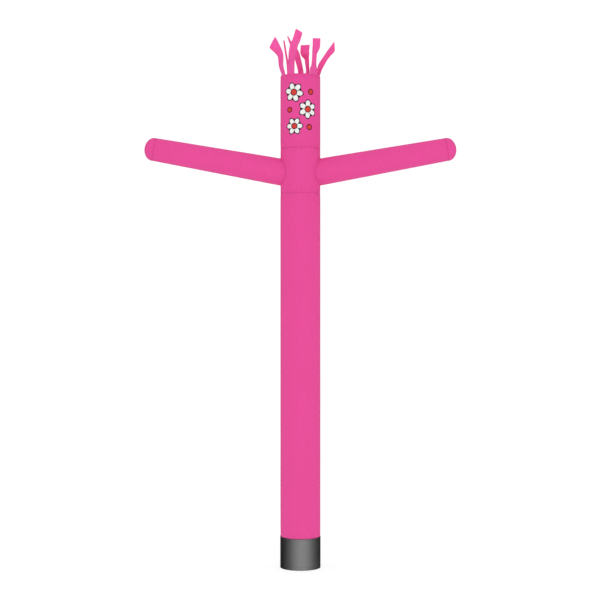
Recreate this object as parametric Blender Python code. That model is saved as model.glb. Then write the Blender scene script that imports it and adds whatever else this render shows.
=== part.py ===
"""Inflatable air dancer: a tall sewn tube of ripstop nylon, held up by the air blown through it.

The tube is three panels joined end to end. It carries two arms that rise a little, each a tapered
sleeve with a round end sewn on, a fringe of ribbons inside its open top, and a black cuff round its
foot that slips over a blower's outlet. Metres, +Z up. The origin is the centre of the cuff's lower
rim, the front faces -Y, and the arms reach along X.
"""

import math
from collections import namedtuple

import bmesh
import bpy
from mathutils import Vector

# Driving dimensions.
TUBE_RADIUS = 0.2286  # an 18 inch sleeve
RIM_HEIGHT = 5.600  # the hemmed top of the tube
SHOULDER_SEAM = 4.260  # joins the long body panel to the one with the arm holes
NECK_SEAM = 4.770  # joins that one to the head panel
CLOTH = 0.0015  # one layer of nylon with its coating
GAP = 0.0003  # between pieces that touch

CUFF_HEIGHT = 0.356
CUFF_CLOTH = 0.002  # one layer of the heavier coated cloth
CUFF_HEM = 0.040
TUCK = 0.030  # the tube's foot, sewn in behind the cuff's upper edge
TOP_HEM = 0.030

ARM_HEIGHT = 4.513  # where the arm's middle line meets the tube's wall
ARM_RISE = math.radians(10.1)
ARM_LENGTH = 1.469  # of the sleeve, from the tube's wall to the seam of the round end
ARM_ROOT_RADIUS = 0.1545
ARM_END_RADIUS = 0.1320
ARM_END_DEPTH = 0.106  # the round end is a little flatter than a half ball
ARM_STUB = 0.120  # how far an arm is carried into the tube before it is trimmed to the wall

BAND_CLOTH = 0.0024  # the fringe's uncut edge, folded double
BAND_DEPTH = 0.030
BAND_STAND = 0.004  # how far the uncut edge stands above the tube's rim

# Steps round the curves.
TUBE_STEPS = 64
ARM_STEPS = 40
ARM_ROUND_STEPS = 6
ARM_SLEEVE_STEPS = 3
RIBBON_COLUMNS = 4
RIBBON_STEPS = 3  # between two folds
PATH_STEP = 0.01  # of a span, either side of a point, to find which way a ribbon runs there
SHARP_EDGE = math.radians(35)
MERGE = 1e-6

PINK = (0.847, 0.080, 0.337, 1.0)
BLACK = (0.012, 0.012, 0.013, 1.0)
NYLON_ROUGHNESS = 0.45
COATED_ROUGHNESS = 0.35

BAND_OUTER = TUBE_RADIUS - 2 * CLOTH - GAP
BAND_MIDDLE = BAND_OUTER - BAND_CLOTH / 2

# A fold is one line across a ribbon. Its middle lies so far across (+X), back (+Y) and up from the
# rim. tilt is the line's slope in the front view, and turn is how far it swings out of that view, in
# degrees, with its right end going back where turn is positive.
Fold = namedtuple("Fold", "across back up wide tilt turn")

# at is the ribbon's place on the rim in degrees, anticlockwise from +X as seen from above, root is its
# width there, and cup is how far it bows across its width at its free end.
Ribbon = namedtuple("Ribbon", "name at root cup folds")

RIBBONS = (
    Ribbon(
        "left_flare", 208, 0.090, 0.012,
        (
            Fold(-0.224, -0.110, 0.110, 0.120, -13, -63),
            Fold(-0.229, -0.115, 0.195, 0.120, -8, -58),
            Fold(-0.239, -0.120, 0.237, 0.120, 8, -54),
            Fold(-0.278, -0.130, 0.303, 0.116, 36, -34),
            Fold(-0.322, -0.130, 0.373, 0.140, 62, -8),
        ),
    ),
    Ribbon(
        "left_slip", 127, 0.050, 0.006,
        (
            Fold(-0.138, 0.175, 0.090, 0.060, 0, 52),
            Fold(-0.152, 0.168, 0.189, 0.065, 10, 67),
            Fold(-0.175, 0.160, 0.315, 0.065, 10, 70),
            Fold(-0.195, 0.150, 0.450, 0.065, -8, 76),
        ),
    ),
    Ribbon(
        "back_lean", 90, 0.070, 0.006,
        (
            Fold(0.003, 0.216, 0.097, 0.070, 0, 24),
            Fold(-0.026, 0.200, 0.225, 0.074, 0, 12),
            Fold(-0.058, 0.180, 0.327, 0.074, 18, 20),
            Fold(-0.108, 0.160, 0.401, 0.072, 27, 56),
            Fold(-0.153, 0.150, 0.495, 0.070, 24, 76),
        ),
    ),
    Ribbon(
        "front_tall", 241, 0.090, 0.010,
        (
            Fold(-0.109, -0.192, 0.079, 0.090, -4, -24),
            Fold(-0.103, -0.184, 0.168, 0.090, 0, -33),
            Fold(-0.086, -0.174, 0.269, 0.090, -4, -8),
            Fold(-0.070, -0.167, 0.337, 0.090, -6, 0),
            Fold(-0.043, -0.160, 0.398, 0.088, -14, 6),
            Fold(-0.012, -0.150, 0.500, 0.088, -31, 8),
        ),
    ),
    Ribbon(
        "back_short", 68, 0.060, 0.010,
        (
            Fold(0.088, 0.202, 0.099, 0.090, 0, -62),
            Fold(0.081, 0.190, 0.201, 0.100, 2, -62),
            Fold(0.076, 0.180, 0.255, 0.100, 18, -54),
            Fold(0.052, 0.172, 0.305, 0.102, 10, -8),
            Fold(0.052, 0.170, 0.348, 0.105, 5, 0),
            Fold(0.056, 0.170, 0.398, 0.103, 4, 4),
        ),
    ),
    Ribbon(
        "front_flat", 313.5, 0.110, 0.008,
        (
            Fold(0.154, -0.161, 0.061, 0.100, -4, 30),
            Fold(0.159, -0.156, 0.110, 0.094, 0, 52),
            Fold(0.165, -0.151, 0.227, 0.092, 5, 54),
            Fold(0.174, -0.150, 0.278, 0.090, -5, 38),
            Fold(0.182, -0.150, 0.321, 0.089, -5, 15),
            Fold(0.184, -0.150, 0.413, 0.088, 0, 8),
        ),
    ),
    Ribbon(
        "right_lean", 22, 0.085, 0.012,
        (
            Fold(0.222, 0.085, 0.089, 0.090, -33, -52),
            Fold(0.243, 0.080, 0.145, 0.090, -36, -40),
            Fold(0.305, 0.070, 0.241, 0.092, -44, -44),
            Fold(0.370, 0.060, 0.323, 0.096, -70, -22),
            Fold(0.394, 0.060, 0.365, 0.107, -86, -6),
        ),
    ),
)


def clear_scene():
    """Removes what a new file holds."""
    for found in list(bpy.data.objects):
        bpy.data.objects.remove(found, do_unlink=True)


def finish(name, colour, roughness):
    """A plain cloth material."""
    material = bpy.data.materials.new(name)
    material.use_nodes = True
    shader = material.node_tree.nodes["Principled BSDF"]
    shader.inputs["Base Color"].default_value = colour
    shader.inputs["Roughness"].default_value = roughness
    shader.inputs["Metallic"].default_value = 0.0
    return material


def new_object(name, bm, material=None):
    """Closes the bmesh into a named object, shaded smooth but for its sharp edges."""
    mesh = bpy.data.meshes.new(name)
    bm.to_mesh(mesh)
    bm.free()
    mesh.shade_smooth()
    mesh.set_sharp_from_angle(angle=SHARP_EDGE)
    if material:
        mesh.materials.append(material)
    made = bpy.data.objects.new(name, mesh)
    bpy.context.scene.collection.objects.link(made)
    return made


def spun(profile, steps, closed):
    """A bmesh turned round Z from (radius, height) points, the last joined to the first if closed."""
    bm = bmesh.new()
    line = [bm.verts.new((radius, 0.0, height)) for radius, height in profile]
    for first, second in zip(line, line[1:]):
        bm.edges.new((first, second))
    if closed:
        bm.edges.new((line[-1], line[0]))
    bmesh.ops.spin(
        bm, geom=bm.verts[:] + bm.edges[:], cent=(0, 0, 0), axis=(0, 0, 1), dvec=(0, 0, 0),
        angle=math.tau, steps=steps, use_merge=True,
    )
    bmesh.ops.remove_doubles(bm, verts=bm.verts[:], dist=MERGE)
    bmesh.ops.recalc_face_normals(bm, faces=bm.faces[:])
    return bm


def helper(made):
    """Marks a cutter or another helper, which isn't part of the model."""
    made.hide_render = True
    made.display_type = "WIRE"
    return made


def combine(made, other, operation):
    """Adds a Boolean with the other object."""
    modifier = made.modifiers.new(f"{operation.lower()}_{other.name}", "BOOLEAN")
    modifier.operation = operation
    modifier.solver = "EXACT"
    modifier.object = other


def base_cuff():
    """The black band at the foot, doubled inwards along its lower hem."""
    outer = TUBE_RADIUS + GAP + CUFF_CLOTH
    inner = TUBE_RADIUS + GAP
    hemmed = outer - 2 * CUFF_CLOTH
    profile = (
        (outer, 0.0),
        (outer, CUFF_HEIGHT),
        (inner, CUFF_HEIGHT),
        (inner, CUFF_HEM),
        (hemmed, CUFF_HEM),
        (hemmed, 0.0),
    )
    black = finish("black_cloth", BLACK, COATED_ROUGHNESS)
    return new_object("base_cuff", spun(profile, TUBE_STEPS, True), black)


def arm_radius(along):
    """The arm's outer radius at a distance from the tube's wall."""
    return ARM_ROOT_RADIUS + (ARM_END_RADIUS - ARM_ROOT_RADIUS) * along / ARM_LENGTH


def sleeve_line(inset):
    """The sleeve's outline, inset from its outer face, from its stub in the tube to its far seam."""
    points = []
    for step in range(ARM_SLEEVE_STEPS + 1):
        along = -ARM_STUB + (ARM_LENGTH + ARM_STUB) * step / ARM_SLEEVE_STEPS
        points.append((arm_radius(along) - inset, along))
    return points


def round_end_line(inset):
    """The round end's outline, inset from its outer face, from its seam to the tip on the axis."""
    points = []
    for step in range(ARM_ROUND_STEPS + 1):
        turn = math.pi / 2 * step / ARM_ROUND_STEPS
        radius = (ARM_END_RADIUS - inset) * math.cos(turn)
        depth = (ARM_END_DEPTH - GAP - inset) * math.sin(turn)
        points.append((radius, ARM_LENGTH + GAP + depth))
    return points


def place_on_arm(made, side):
    """Turns a shape made round Z on to the arm's middle line. side is 1 on the right, -1 on the left."""
    made.location = (side * TUBE_RADIUS, 0.0, ARM_HEIGHT)
    made.rotation_euler = (0.0, side * (math.pi / 2 - ARM_RISE), 0.0)


def arm_sleeve(name, side, trim):
    """One tapered sleeve, trimmed to sit on the tube's wall."""
    profile = sleeve_line(0.0)[::-1] + sleeve_line(CLOTH)
    nylon = finish(f"{name}_nylon", PINK, NYLON_ROUGHNESS)
    made = new_object(name, spun(profile, ARM_STEPS, True), nylon)
    place_on_arm(made, side)
    combine(made, trim, "DIFFERENCE")
    return made


def arm_end(name, side):
    """The round end that closes a sleeve."""
    profile = round_end_line(0.0)[::-1] + round_end_line(CLOTH)
    nylon = finish(f"{name}_nylon", PINK, NYLON_ROUGHNESS)
    made = new_object(name, spun(profile, ARM_STEPS, False), nylon)
    place_on_arm(made, side)
    return made


def arm_hole_cutter(name, side):
    """What is cut from the tube's wall where an arm opens into it."""
    profile = (
        (0.0, -ARM_STUB),
        (arm_radius(-ARM_STUB) - CLOTH, -ARM_STUB),
        (arm_radius(ARM_STUB) - CLOTH, ARM_STUB),
        (0.0, ARM_STUB),
    )
    made = helper(new_object(name, spun(profile, ARM_STEPS, False)))
    place_on_arm(made, side)
    return made


def tube_trim():
    """A solid just outside the tube's wall, which trims the arms."""
    radius = TUBE_RADIUS + GAP
    profile = (
        (0.0, ARM_HEIGHT - ARM_LENGTH),
        (radius, ARM_HEIGHT - ARM_LENGTH),
        (radius, RIM_HEIGHT),
        (0.0, RIM_HEIGHT),
    )
    return helper(new_object("trim", spun(profile, TUBE_STEPS, False)))


def tube_panel(name, low, high):
    """A plain panel of the main sleeve, rolled into a tube between two heights."""
    inner = TUBE_RADIUS - CLOTH
    profile = ((TUBE_RADIUS, low), (TUBE_RADIUS, high), (inner, high), (inner, low))
    nylon = finish(f"{name}_nylon", PINK, NYLON_ROUGHNESS)
    return new_object(name, spun(profile, TUBE_STEPS, True), nylon)


def tube_shoulders():
    """The panel with a hole for each arm."""
    made = tube_panel("tube_shoulders", SHOULDER_SEAM + GAP, NECK_SEAM)
    for side, name in ((1, "hole_right"), (-1, "hole_left")):
        combine(made, arm_hole_cutter(name, side), "DIFFERENCE")
    return made


def tube_head():
    """The top panel, open above and doubled inwards along its hem."""
    inner = TUBE_RADIUS - CLOTH
    hemmed = TUBE_RADIUS - 2 * CLOTH
    profile = (
        (TUBE_RADIUS, NECK_SEAM + GAP),
        (TUBE_RADIUS, RIM_HEIGHT),
        (hemmed, RIM_HEIGHT),
        (hemmed, RIM_HEIGHT - TOP_HEM),
        (inner, RIM_HEIGHT - TOP_HEM),
        (inner, NECK_SEAM + GAP),
    )
    nylon = finish("tube_head_nylon", PINK, NYLON_ROUGHNESS)
    return new_object("tube_head", spun(profile, TUBE_STEPS, True), nylon)


def root_folds(ribbon):
    """The two lines where the ribbon leaves the band: on its circle, below and at its upper edge."""
    at = math.radians(ribbon.at)
    across = BAND_MIDDLE * math.cos(at)
    back = BAND_MIDDLE * math.sin(at)
    turn = ribbon.at % 180 - 90  # along the circle
    low = BAND_STAND - BAND_DEPTH / 2
    return [Fold(across, back, up, ribbon.root, 0, turn) for up in (low, BAND_STAND)]


def between(rows, along):
    """A fold at any place along the rows: straight up the band, then on a smooth curve."""
    index = min(int(along), len(rows) - 2)
    part = along - index
    start, end = rows[index], rows[index + 1]
    if index == 0:
        return Fold(*(a + part * (b - a) for a, b in zip(start, end)))
    before = rows[index - 1]
    after = rows[min(index + 2, len(rows) - 1)]
    values = []
    for a, b, c, d in zip(before, start, end, after):
        bend = 2 * a - 5 * b + 4 * c - d
        curl = 3 * (b - c) + d - a
        values.append(b + 0.5 * part * (c - a + part * (bend + part * curl)))
    return Fold(*values)


def line_across(fold):
    """The unit vector along a fold's line, towards its right end."""
    tilt, turn = math.radians(fold.tilt), math.radians(fold.turn)
    return Vector((math.cos(turn) * math.cos(tilt), math.sin(turn), math.cos(turn) * math.sin(tilt)))


def middle_of(fold):
    """The point in the middle of a fold's line."""
    return Vector((fold.across, fold.back, RIM_HEIGHT + fold.up))


def face_of(rows, along):
    """The unit vector out of a ribbon's outer face at a place along it."""
    path = middle_of(between(rows, min(along + PATH_STEP, len(rows) - 1)))
    path -= middle_of(between(rows, max(along - PATH_STEP, 0.0)))
    outward = 1.0 if rows[0].back < 0 else -1.0
    return line_across(between(rows, along)).cross(path).normalized() * outward


def bow_of(ribbon, along, spans):
    """How far a ribbon's edges lie behind its middle: the band's curve at the root, then its cup."""
    root_bow = ribbon.root**2 / (8 * BAND_MIDDLE)
    free = max(along - 1, 0.0) / (spans - 1)
    return root_bow + (ribbon.cup - root_bow) * free


def ribbon_sheet(ribbon):
    """One ribbon: a grid whose rows run across it on its folds' lines, with its edges bowed inwards."""
    rows = root_folds(ribbon) + list(ribbon.folds)
    spans = len(rows) - 1
    bm = bmesh.new()
    bmesh.ops.create_grid(bm, x_segments=RIBBON_COLUMNS, y_segments=spans * RIBBON_STEPS, size=0.5)
    for vert in bm.verts:
        side, along = vert.co.x, (vert.co.y + 0.5) * spans
        fold = between(rows, along)
        line = line_across(fold)
        edge_drop = face_of(rows, along) * bow_of(ribbon, along, spans) * (2 * side) ** 2
        vert.co = middle_of(fold) + line * side * fold.wide - edge_drop
    bmesh.ops.recalc_face_normals(bm, faces=bm.faces[:])
    made = helper(new_object(f"ribbon_{ribbon.name}", bm))
    wall = made.modifiers.new("cloth", "SOLIDIFY")
    wall.thickness = CLOTH
    wall.offset = 0.0
    return made


def hair_fringe():
    """The band inside the top hem and the ribbons that rise from it, all one cut cloth."""
    low, high = RIM_HEIGHT + BAND_STAND - BAND_DEPTH, RIM_HEIGHT + BAND_STAND
    inner = BAND_OUTER - BAND_CLOTH
    profile = ((BAND_OUTER, low), (BAND_OUTER, high), (inner, high), (inner, low))
    nylon = finish("fringe_nylon", PINK, NYLON_ROUGHNESS)
    made = new_object("hair_fringe", spun(profile, TUBE_STEPS, True), nylon)
    for ribbon in RIBBONS:
        combine(made, ribbon_sheet(ribbon), "UNION")
    return made


def main():
    clear_scene()
    base_cuff()
    tube_panel("tube_body", CUFF_HEIGHT - TUCK, SHOULDER_SEAM)
    tube_shoulders()
    tube_head()
    trim = tube_trim()
    for side, name in ((1, "right"), (-1, "left")):
        arm_sleeve(f"arm_{name}", side, trim)
        arm_end(f"arm_end_{name}", side)
    hair_fringe()


main()
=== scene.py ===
"""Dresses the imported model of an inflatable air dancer: cloth, seams, stitching, print, fringe and studio.

Metres, +Z up. The front faces -Y, the arms reach along X, and angles round the tube run anticlockwise
from +X as seen from above, so that the front is at -90 degrees and the back seam at 90.
"""

from __future__ import annotations

import logging
import math
from collections.abc import Callable, Sequence
from dataclasses import dataclass, field
from enum import Enum
from typing import NamedTuple

import bmesh
import bpy
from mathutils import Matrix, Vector, noise


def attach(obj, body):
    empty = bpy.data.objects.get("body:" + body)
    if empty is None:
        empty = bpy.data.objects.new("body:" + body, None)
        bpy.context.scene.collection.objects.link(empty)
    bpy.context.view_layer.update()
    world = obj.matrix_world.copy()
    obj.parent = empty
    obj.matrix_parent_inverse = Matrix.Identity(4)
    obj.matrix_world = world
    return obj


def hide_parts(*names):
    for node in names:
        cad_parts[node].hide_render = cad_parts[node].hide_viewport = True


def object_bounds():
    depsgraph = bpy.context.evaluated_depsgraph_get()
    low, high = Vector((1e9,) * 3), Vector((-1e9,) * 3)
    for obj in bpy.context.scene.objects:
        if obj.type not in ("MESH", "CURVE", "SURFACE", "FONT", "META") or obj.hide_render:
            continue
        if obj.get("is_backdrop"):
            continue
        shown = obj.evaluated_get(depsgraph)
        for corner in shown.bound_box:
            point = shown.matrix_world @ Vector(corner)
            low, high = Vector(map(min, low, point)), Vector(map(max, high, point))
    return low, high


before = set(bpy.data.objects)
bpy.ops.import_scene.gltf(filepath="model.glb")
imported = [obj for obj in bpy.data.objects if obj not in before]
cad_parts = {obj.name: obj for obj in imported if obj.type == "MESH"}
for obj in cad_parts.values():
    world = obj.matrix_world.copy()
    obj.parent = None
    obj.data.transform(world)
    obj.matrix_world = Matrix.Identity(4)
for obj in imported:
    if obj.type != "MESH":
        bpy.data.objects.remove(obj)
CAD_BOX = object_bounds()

LOG = logging.getLogger("air_dancer")
BODY = "root"
CLOTH_UV = "cloth"
MARKS = "cloth_marks"  # the attribute that holds a sheet's Marks
BACK = math.pi / 2
FRONT = -math.pi / 2
CLOTH = 0.0009  # how thick the nylon is drawn
FAR = 6  # how many times its reach away an effect is left out
WELD = 1e-6  # how close points are joined
HALVINGS = 24  # how often a place is narrowed down
NOISE = (0.30, 0.70)  # between which most of a noise texture's values lie

Pair = tuple[float, float]
Triple = tuple[float, float, float]
Colour = Triple


class Marks(NamedTuple):
    """What sewing does to one point of a sheet, each from 0 to 1.

    doubled is for cloth that lies double or is fused, as along hems, laps and cut edges. upright and
    level are for the gathers beside a seam, which run along the cut's length or across it.
    """

    doubled: float = 0.0
    upright: float = 0.0
    level: float = 0.0


Place = Callable[[float, float], Vector]
Mark = Callable[[float, float], Marks]
LayOut = Callable[[float, float], Pair]
Outside = Callable[[float, float], float]


class Slot(Enum):
    """The record's material slots."""

    NYLON = "pink_nylon"
    COATED = "black_coated_cloth"
    WHITE_INK = "white_ink"
    BLACK_INK = "black_ink"
    RED_INK = "red_ink"


def smooth_step(value: float, start: float, end: float) -> float:
    """Eases from 0 at start to 1 at end."""
    part = min(max((value - start) / (end - start), 0.0), 1.0)
    return part * part * (3 - 2 * part)


def spread(start: float, end: float, steps: int, crowd: float = 0.0) -> list[float]:
    """Places between two ends, closer together near both of them.

    Args:
        start: The first place.
        end: The last place.
        steps: How many steps lie between them.
        crowd: 0 for even steps, towards 1 for steps that shrink near the ends.

    Returns:
        One place more than there are steps.
    """
    places = []
    for step in range(steps + 1):
        part = step / steps
        part -= crowd * math.sin(math.tau * part) / math.tau
        places.append(start + (end - start) * part)
    return places


def joined(*runs: Sequence[float]) -> list[float]:
    """Runs of places end to end, each of which starts where the one before it ends."""
    return [*runs[0], *(place for run in runs[1:] for place in run[1:])]


def fade(distance: float, reach: float) -> float:
    """How much is left of an effect at a distance, 1 at none and about a third at its reach."""
    return math.exp(-abs(distance) / reach)


def crease(distance: float, width: float) -> float:
    """The same for a crease, which is round at its middle and soon runs out."""
    return math.exp(-((distance / width) ** 2))


def ripple(spot: Vector) -> float:
    """Smooth, uneven change from 0 to 1. Fixed shifts of the spot keep two ripples apart."""
    return 0.5 + 0.5 * noise.noise(spot)


def on_circle(angle: float, radius: float = 1.0, height: float = 0.0) -> Vector:
    """A point at an angle round the upright axis, so far from it and so high."""
    return Vector((radius * math.cos(angle), radius * math.sin(angle), height))


def arc_to(seam: float, angle: float, radius: float) -> float:
    """The distance round a circle from a seam to an angle, the shorter way."""
    return abs(math.remainder(angle - seam, math.tau)) * radius


# ---- Meshes ------------------------------------------------------------------


def grid_sheet(
    across: Sequence[float],
    along: Sequence[float],
    place: Place,
    mark: Mark,
    lay_out: LayOut | None = None,
    outside: Outside | None = None,
    welded: bool = False,
) -> bmesh.types.BMesh:
    """Cuts a sheet as a grid and lays it in its place.

    Args:
        across: Distances across the cut, one for each column of points.
        along: Distances along it, one for each row.
        place: Where a point of the cut lies on the object.
        mark: What sewing does to the cloth at a point of the cut.
        lay_out: The UV of a point of the cut in metres, where that isn't the point itself.
        outside: How far a point of the cut lies outside the holes in it, where it has any.
        welded: True to join the points that meet there, as round a ring or at a disc's middle.

    Returns:
        The sheet, one face thick, with its cut as the UV map.
    """
    bm = bmesh.new()
    columns, rows = len(across) - 1, len(along) - 1
    bmesh.ops.create_grid(bm, x_segments=columns, y_segments=rows, size=0.5)
    uv = bm.loops.layers.uv.new(CLOTH_UV)
    marks = bm.verts.layers.float_vector.new(MARKS)
    cut = {}
    for vert in bm.verts:
        column = round((vert.co.x + 0.5) * columns)
        row = round((vert.co.y + 0.5) * rows)
        cut[vert] = across[column], along[row]
    if outside:
        open_holes(bm, cut, outside)
    for face in bm.faces:
        for loop in face.loops:
            spot = cut[loop.vert]
            loop[uv].uv = lay_out(*spot) if lay_out else spot
    for vert in bm.verts:
        spot = cut[vert]
        vert.co = place(*spot)
        vert[marks] = mark(*spot)
    if welded:
        bmesh.ops.remove_doubles(bm, verts=bm.verts[:], dist=WELD)
    return bm


def open_holes(
    bm: bmesh.types.BMesh,
    cut: dict[bmesh.types.BMVert, Pair],
    outside: Outside,
    step: float = 1e-4,
    rounds: int = 3,
) -> None:
    """Takes the cloth out of a cut's holes, and draws what is left to their edges.

    Args:
        bm: The cut.
        cut: Where each of its points lies. The points beside a hole are moved here.
        outside: How far a point of the cut lies outside the holes.
        step: Over what length the way to a hole's edge is found.
        rounds: How often a point is moved there, each time closer.
    """
    gone = []
    for face in bm.faces:
        spots = [cut[vert] for vert in face.verts]
        if outside(*(sum(values) / len(spots) for values in zip(*spots))) < 0:
            gone.append(face)
    beside = []
    for vert in bm.verts:
        lost = sum(face in gone for face in vert.link_faces)
        if 0 < lost < len(vert.link_faces):
            beside.append(vert)
    bmesh.ops.delete(bm, geom=gone, context="FACES")
    for vert in beside:
        spot = Vector(cut[vert])
        for _ in range(rounds):
            away = outside(*spot)
            right, up = outside(spot.x + step, spot.y), outside(spot.x, spot.y + step)
            slope = Vector((right - away, up - away)) / step
            spot -= slope * away / slope.length_squared
        cut[vert] = tuple(spot)


def new_object(name: str, bm: bmesh.types.BMesh, smooth: bool = True) -> bpy.types.Object:
    """Closes a bmesh into an object at the origin.

    Args:
        name: The piece's name.
        bm: Its mesh, which is freed.
        smooth: True to shade it smooth.

    Returns:
        The new object.
    """
    mesh = bpy.data.meshes.new(name)
    bm.to_mesh(mesh)
    bm.free()
    if smooth:
        mesh.shade_smooth()
    made = bpy.data.objects.new(name, mesh)
    bpy.context.scene.collection.objects.link(made)
    return made


def cloth_object(
    name: str, bm: bmesh.types.BMesh, thickness: float = CLOTH, offset: float = -1.0,
) -> bpy.types.Object:
    """Closes a sheet into an object as thick as its cloth.

    Args:
        name: The piece's name.
        bm: The sheet, which is freed.
        thickness: The cloth's thickness.
        offset: -1 to build it behind the sheet's face, 0 for both sides.

    Returns:
        The new object.
    """
    made = new_object(name, bm)
    wall = made.modifiers.new("cloth", "SOLIDIFY")
    wall.thickness = thickness
    wall.offset = offset
    wall.use_rim = True
    return made


def make_real(made: bpy.types.Object) -> None:
    """Turns modifiers into the mesh that they make.

    Args:
        made: The object that has them.
    """
    bpy.context.view_layer.update()
    seen = made.evaluated_get(bpy.context.evaluated_depsgraph_get())
    mesh = bpy.data.meshes.new_from_object(seen)
    mesh.name = made.name
    made.modifiers.clear()
    made.data = mesh


# ---- Finishes ----------------------------------------------------------------


Output = bpy.types.NodeSocket
Outputs = dict[str, bpy.types.NodeSocket]


class Shader:
    """A node tree under construction, for a material, a world or a group.

    A value that goes into a node is a number or a colour of its own, or an output to link.
    """

    def __init__(self, tree: bpy.types.NodeTree) -> None:
        """Takes the tree to build in."""
        self.tree = tree

    def node(self, kind: str, inputs: dict | None = None, **settings: object) -> Sequence[Output]:
        """Adds a node.

        Args:
            kind: Its type, without the ShaderNode at the front.
            inputs: What goes into its inputs, by their names or numbers.
            settings: Attributes of the node, such as operation.

        Returns:
            Its outputs.
        """
        made = self.tree.nodes.new(f"ShaderNode{kind}")
        for name, value in settings.items():
            setattr(made, name, value)
        for key, value in (inputs or {}).items():
            self.feed(made.inputs[key], value)
        return made.outputs

    def feed(self, socket: bpy.types.NodeSocket, value: object) -> None:
        """Feeds an input.

        Args:
            socket: The input.
            value: What goes into it.
        """
        if isinstance(value, bpy.types.NodeSocket):
            self.tree.links.new(value, socket)
        else:
            socket.default_value = value

    def math(self, operation: str, *values: object) -> Output:
        """Works out one number from up to three."""
        return self.node("Math", dict(enumerate(values)), operation=operation)[0]

    def wave(self, value: Output, length: float) -> Output:
        """A sine wave of a length in metres along a value."""
        return self.math("SINE", self.math("MULTIPLY", value, math.tau / length))

    def axes(self, vector: Output) -> Sequence[Output]:
        """A vector's three numbers."""
        return self.node("SeparateXYZ", {0: vector})

    def scaled(self, vector: Output, scale: Triple) -> Output:
        """A vector, scaled by so much on each axis."""
        return self.node("Mapping", {"Vector": vector, "Scale": scale})[0]

    def noise(self, vector: Output, scale: float, detail: float = 2.0) -> Output:
        """Noise from 0 to 1, by how much of it lies in a metre and how many finer layers it has."""
        return self.node("TexNoise", {"Vector": vector, "Scale": scale, "Detail": detail})["Fac"]

    def fit(
        self, value: object, low: float, high: float, start: object = 0.0, end: object = 1.0,
    ) -> Output:
        """Maps low..high to start..end, held at both ends."""
        return self.node("MapRange", dict(enumerate((value, low, high, start, end))))[0]

    def mix(self, factor: Output, one: Colour | Output, other: Colour) -> Output:
        """Mixes two colours, from the one at 0 to the other at 1."""
        one = (*one, 1.0) if isinstance(one, tuple) else one
        return self.node("Mix", {0: factor, 6: one, 7: (*other, 1.0)}, data_type="RGBA")[2]

    def relief(self, *layers: tuple[float, Output]) -> Output:
        """Chains bumps.

        Args:
            layers: Each bump's depth in metres and its height.

        Returns:
            The normal.
        """
        normal = {}
        for depth, height in layers:
            normal = {"Normal": self.node("Bump", {"Distance": depth, "Height": height, **normal})[0]}
        return normal["Normal"]


def shared_group(
    name: str, inputs: str, outputs: str, draw: Callable[[Shader, Outputs], Outputs],
) -> bpy.types.NodeTree:
    """Builds a shader node group once, and finds it again after that.

    Args:
        name: The group's name.
        inputs: The names of its numbers, beside a Vector that every group has.
        outputs: The names of its outputs, which are numbers too.
        draw: Builds it, from its inputs to its outputs.

    Returns:
        The group.
    """
    if name in bpy.data.node_groups:
        return bpy.data.node_groups[name]
    tree = bpy.data.node_groups.new(name, "ShaderNodeTree")
    tree.interface.new_socket("Vector", in_out="INPUT", socket_type="NodeSocketVector")
    for labels, way in ((inputs, "INPUT"), (outputs, "OUTPUT")):
        for label in labels.split():
            tree.interface.new_socket(label, in_out=way, socket_type="NodeSocketFloat")
    start, end = tree.nodes.new("NodeGroupInput"), tree.nodes.new("NodeGroupOutput")
    shader = Shader(tree)
    for label, value in draw(shader, start.outputs).items():
        shader.feed(end.inputs[label], value)
    return tree


@dataclass(frozen=True)
class Ripstop:
    """The woven grid of thicker yarns that keeps thin cloth from tearing."""

    pitch: float = 0.0080
    yarn: float = 0.0011
    softness: float = 0.3  # of a yarn's edge
    fine_pitch: float = 0.0009
    fine_height: float = 0.12  # of the yarns between, against the thicker ones

    def add(self, shader: Shader, cut: Output) -> Sequence[Output]:
        """Lays the weave on a cloth's cut: 1 on its thicker yarns, and the height of all of them."""
        tree = shared_group("ripstop_weave", "Pitch Yarn", "Grid Height", self._draw)
        return shader.node("Group", {"Vector": cut, "Pitch": self.pitch, "Yarn": self.yarn}, node_tree=tree)

    def _draw(self, shader: Shader, given: Outputs) -> Outputs:
        """Draws both sets of yarns.

        Args:
            shader: The group.
            given: Its inputs.

        Returns:
            What it puts out.
        """
        ways = shader.axes(given["Vector"])[:2]
        grid = shader.math("MAXIMUM", *(self._yarns(shader, way, given) for way in ways))
        fine = shader.math("ADD", *(shader.wave(way, self.fine_pitch) for way in ways))
        return {"Grid": grid, "Height": shader.math("MULTIPLY_ADD", fine, self.fine_height, grid)}

    def _yarns(self, shader: Shader, way: Output, given: Outputs) -> Output:
        """Draws one set of thicker yarns.

        Args:
            shader: The group.
            way: The distance across them.
            given: Its inputs.

        Returns:
            1 on a yarn, and softly 0 between them.
        """
        away = shader.math("PINGPONG", way, shader.math("MULTIPLY", given["Pitch"], 0.5))
        share = shader.math("DIVIDE", away, given["Yarn"])
        return shader.math("SUBTRACT", 1.0, shader.math("SMOOTH_MIN", share, 1.0, self.softness))


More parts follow.
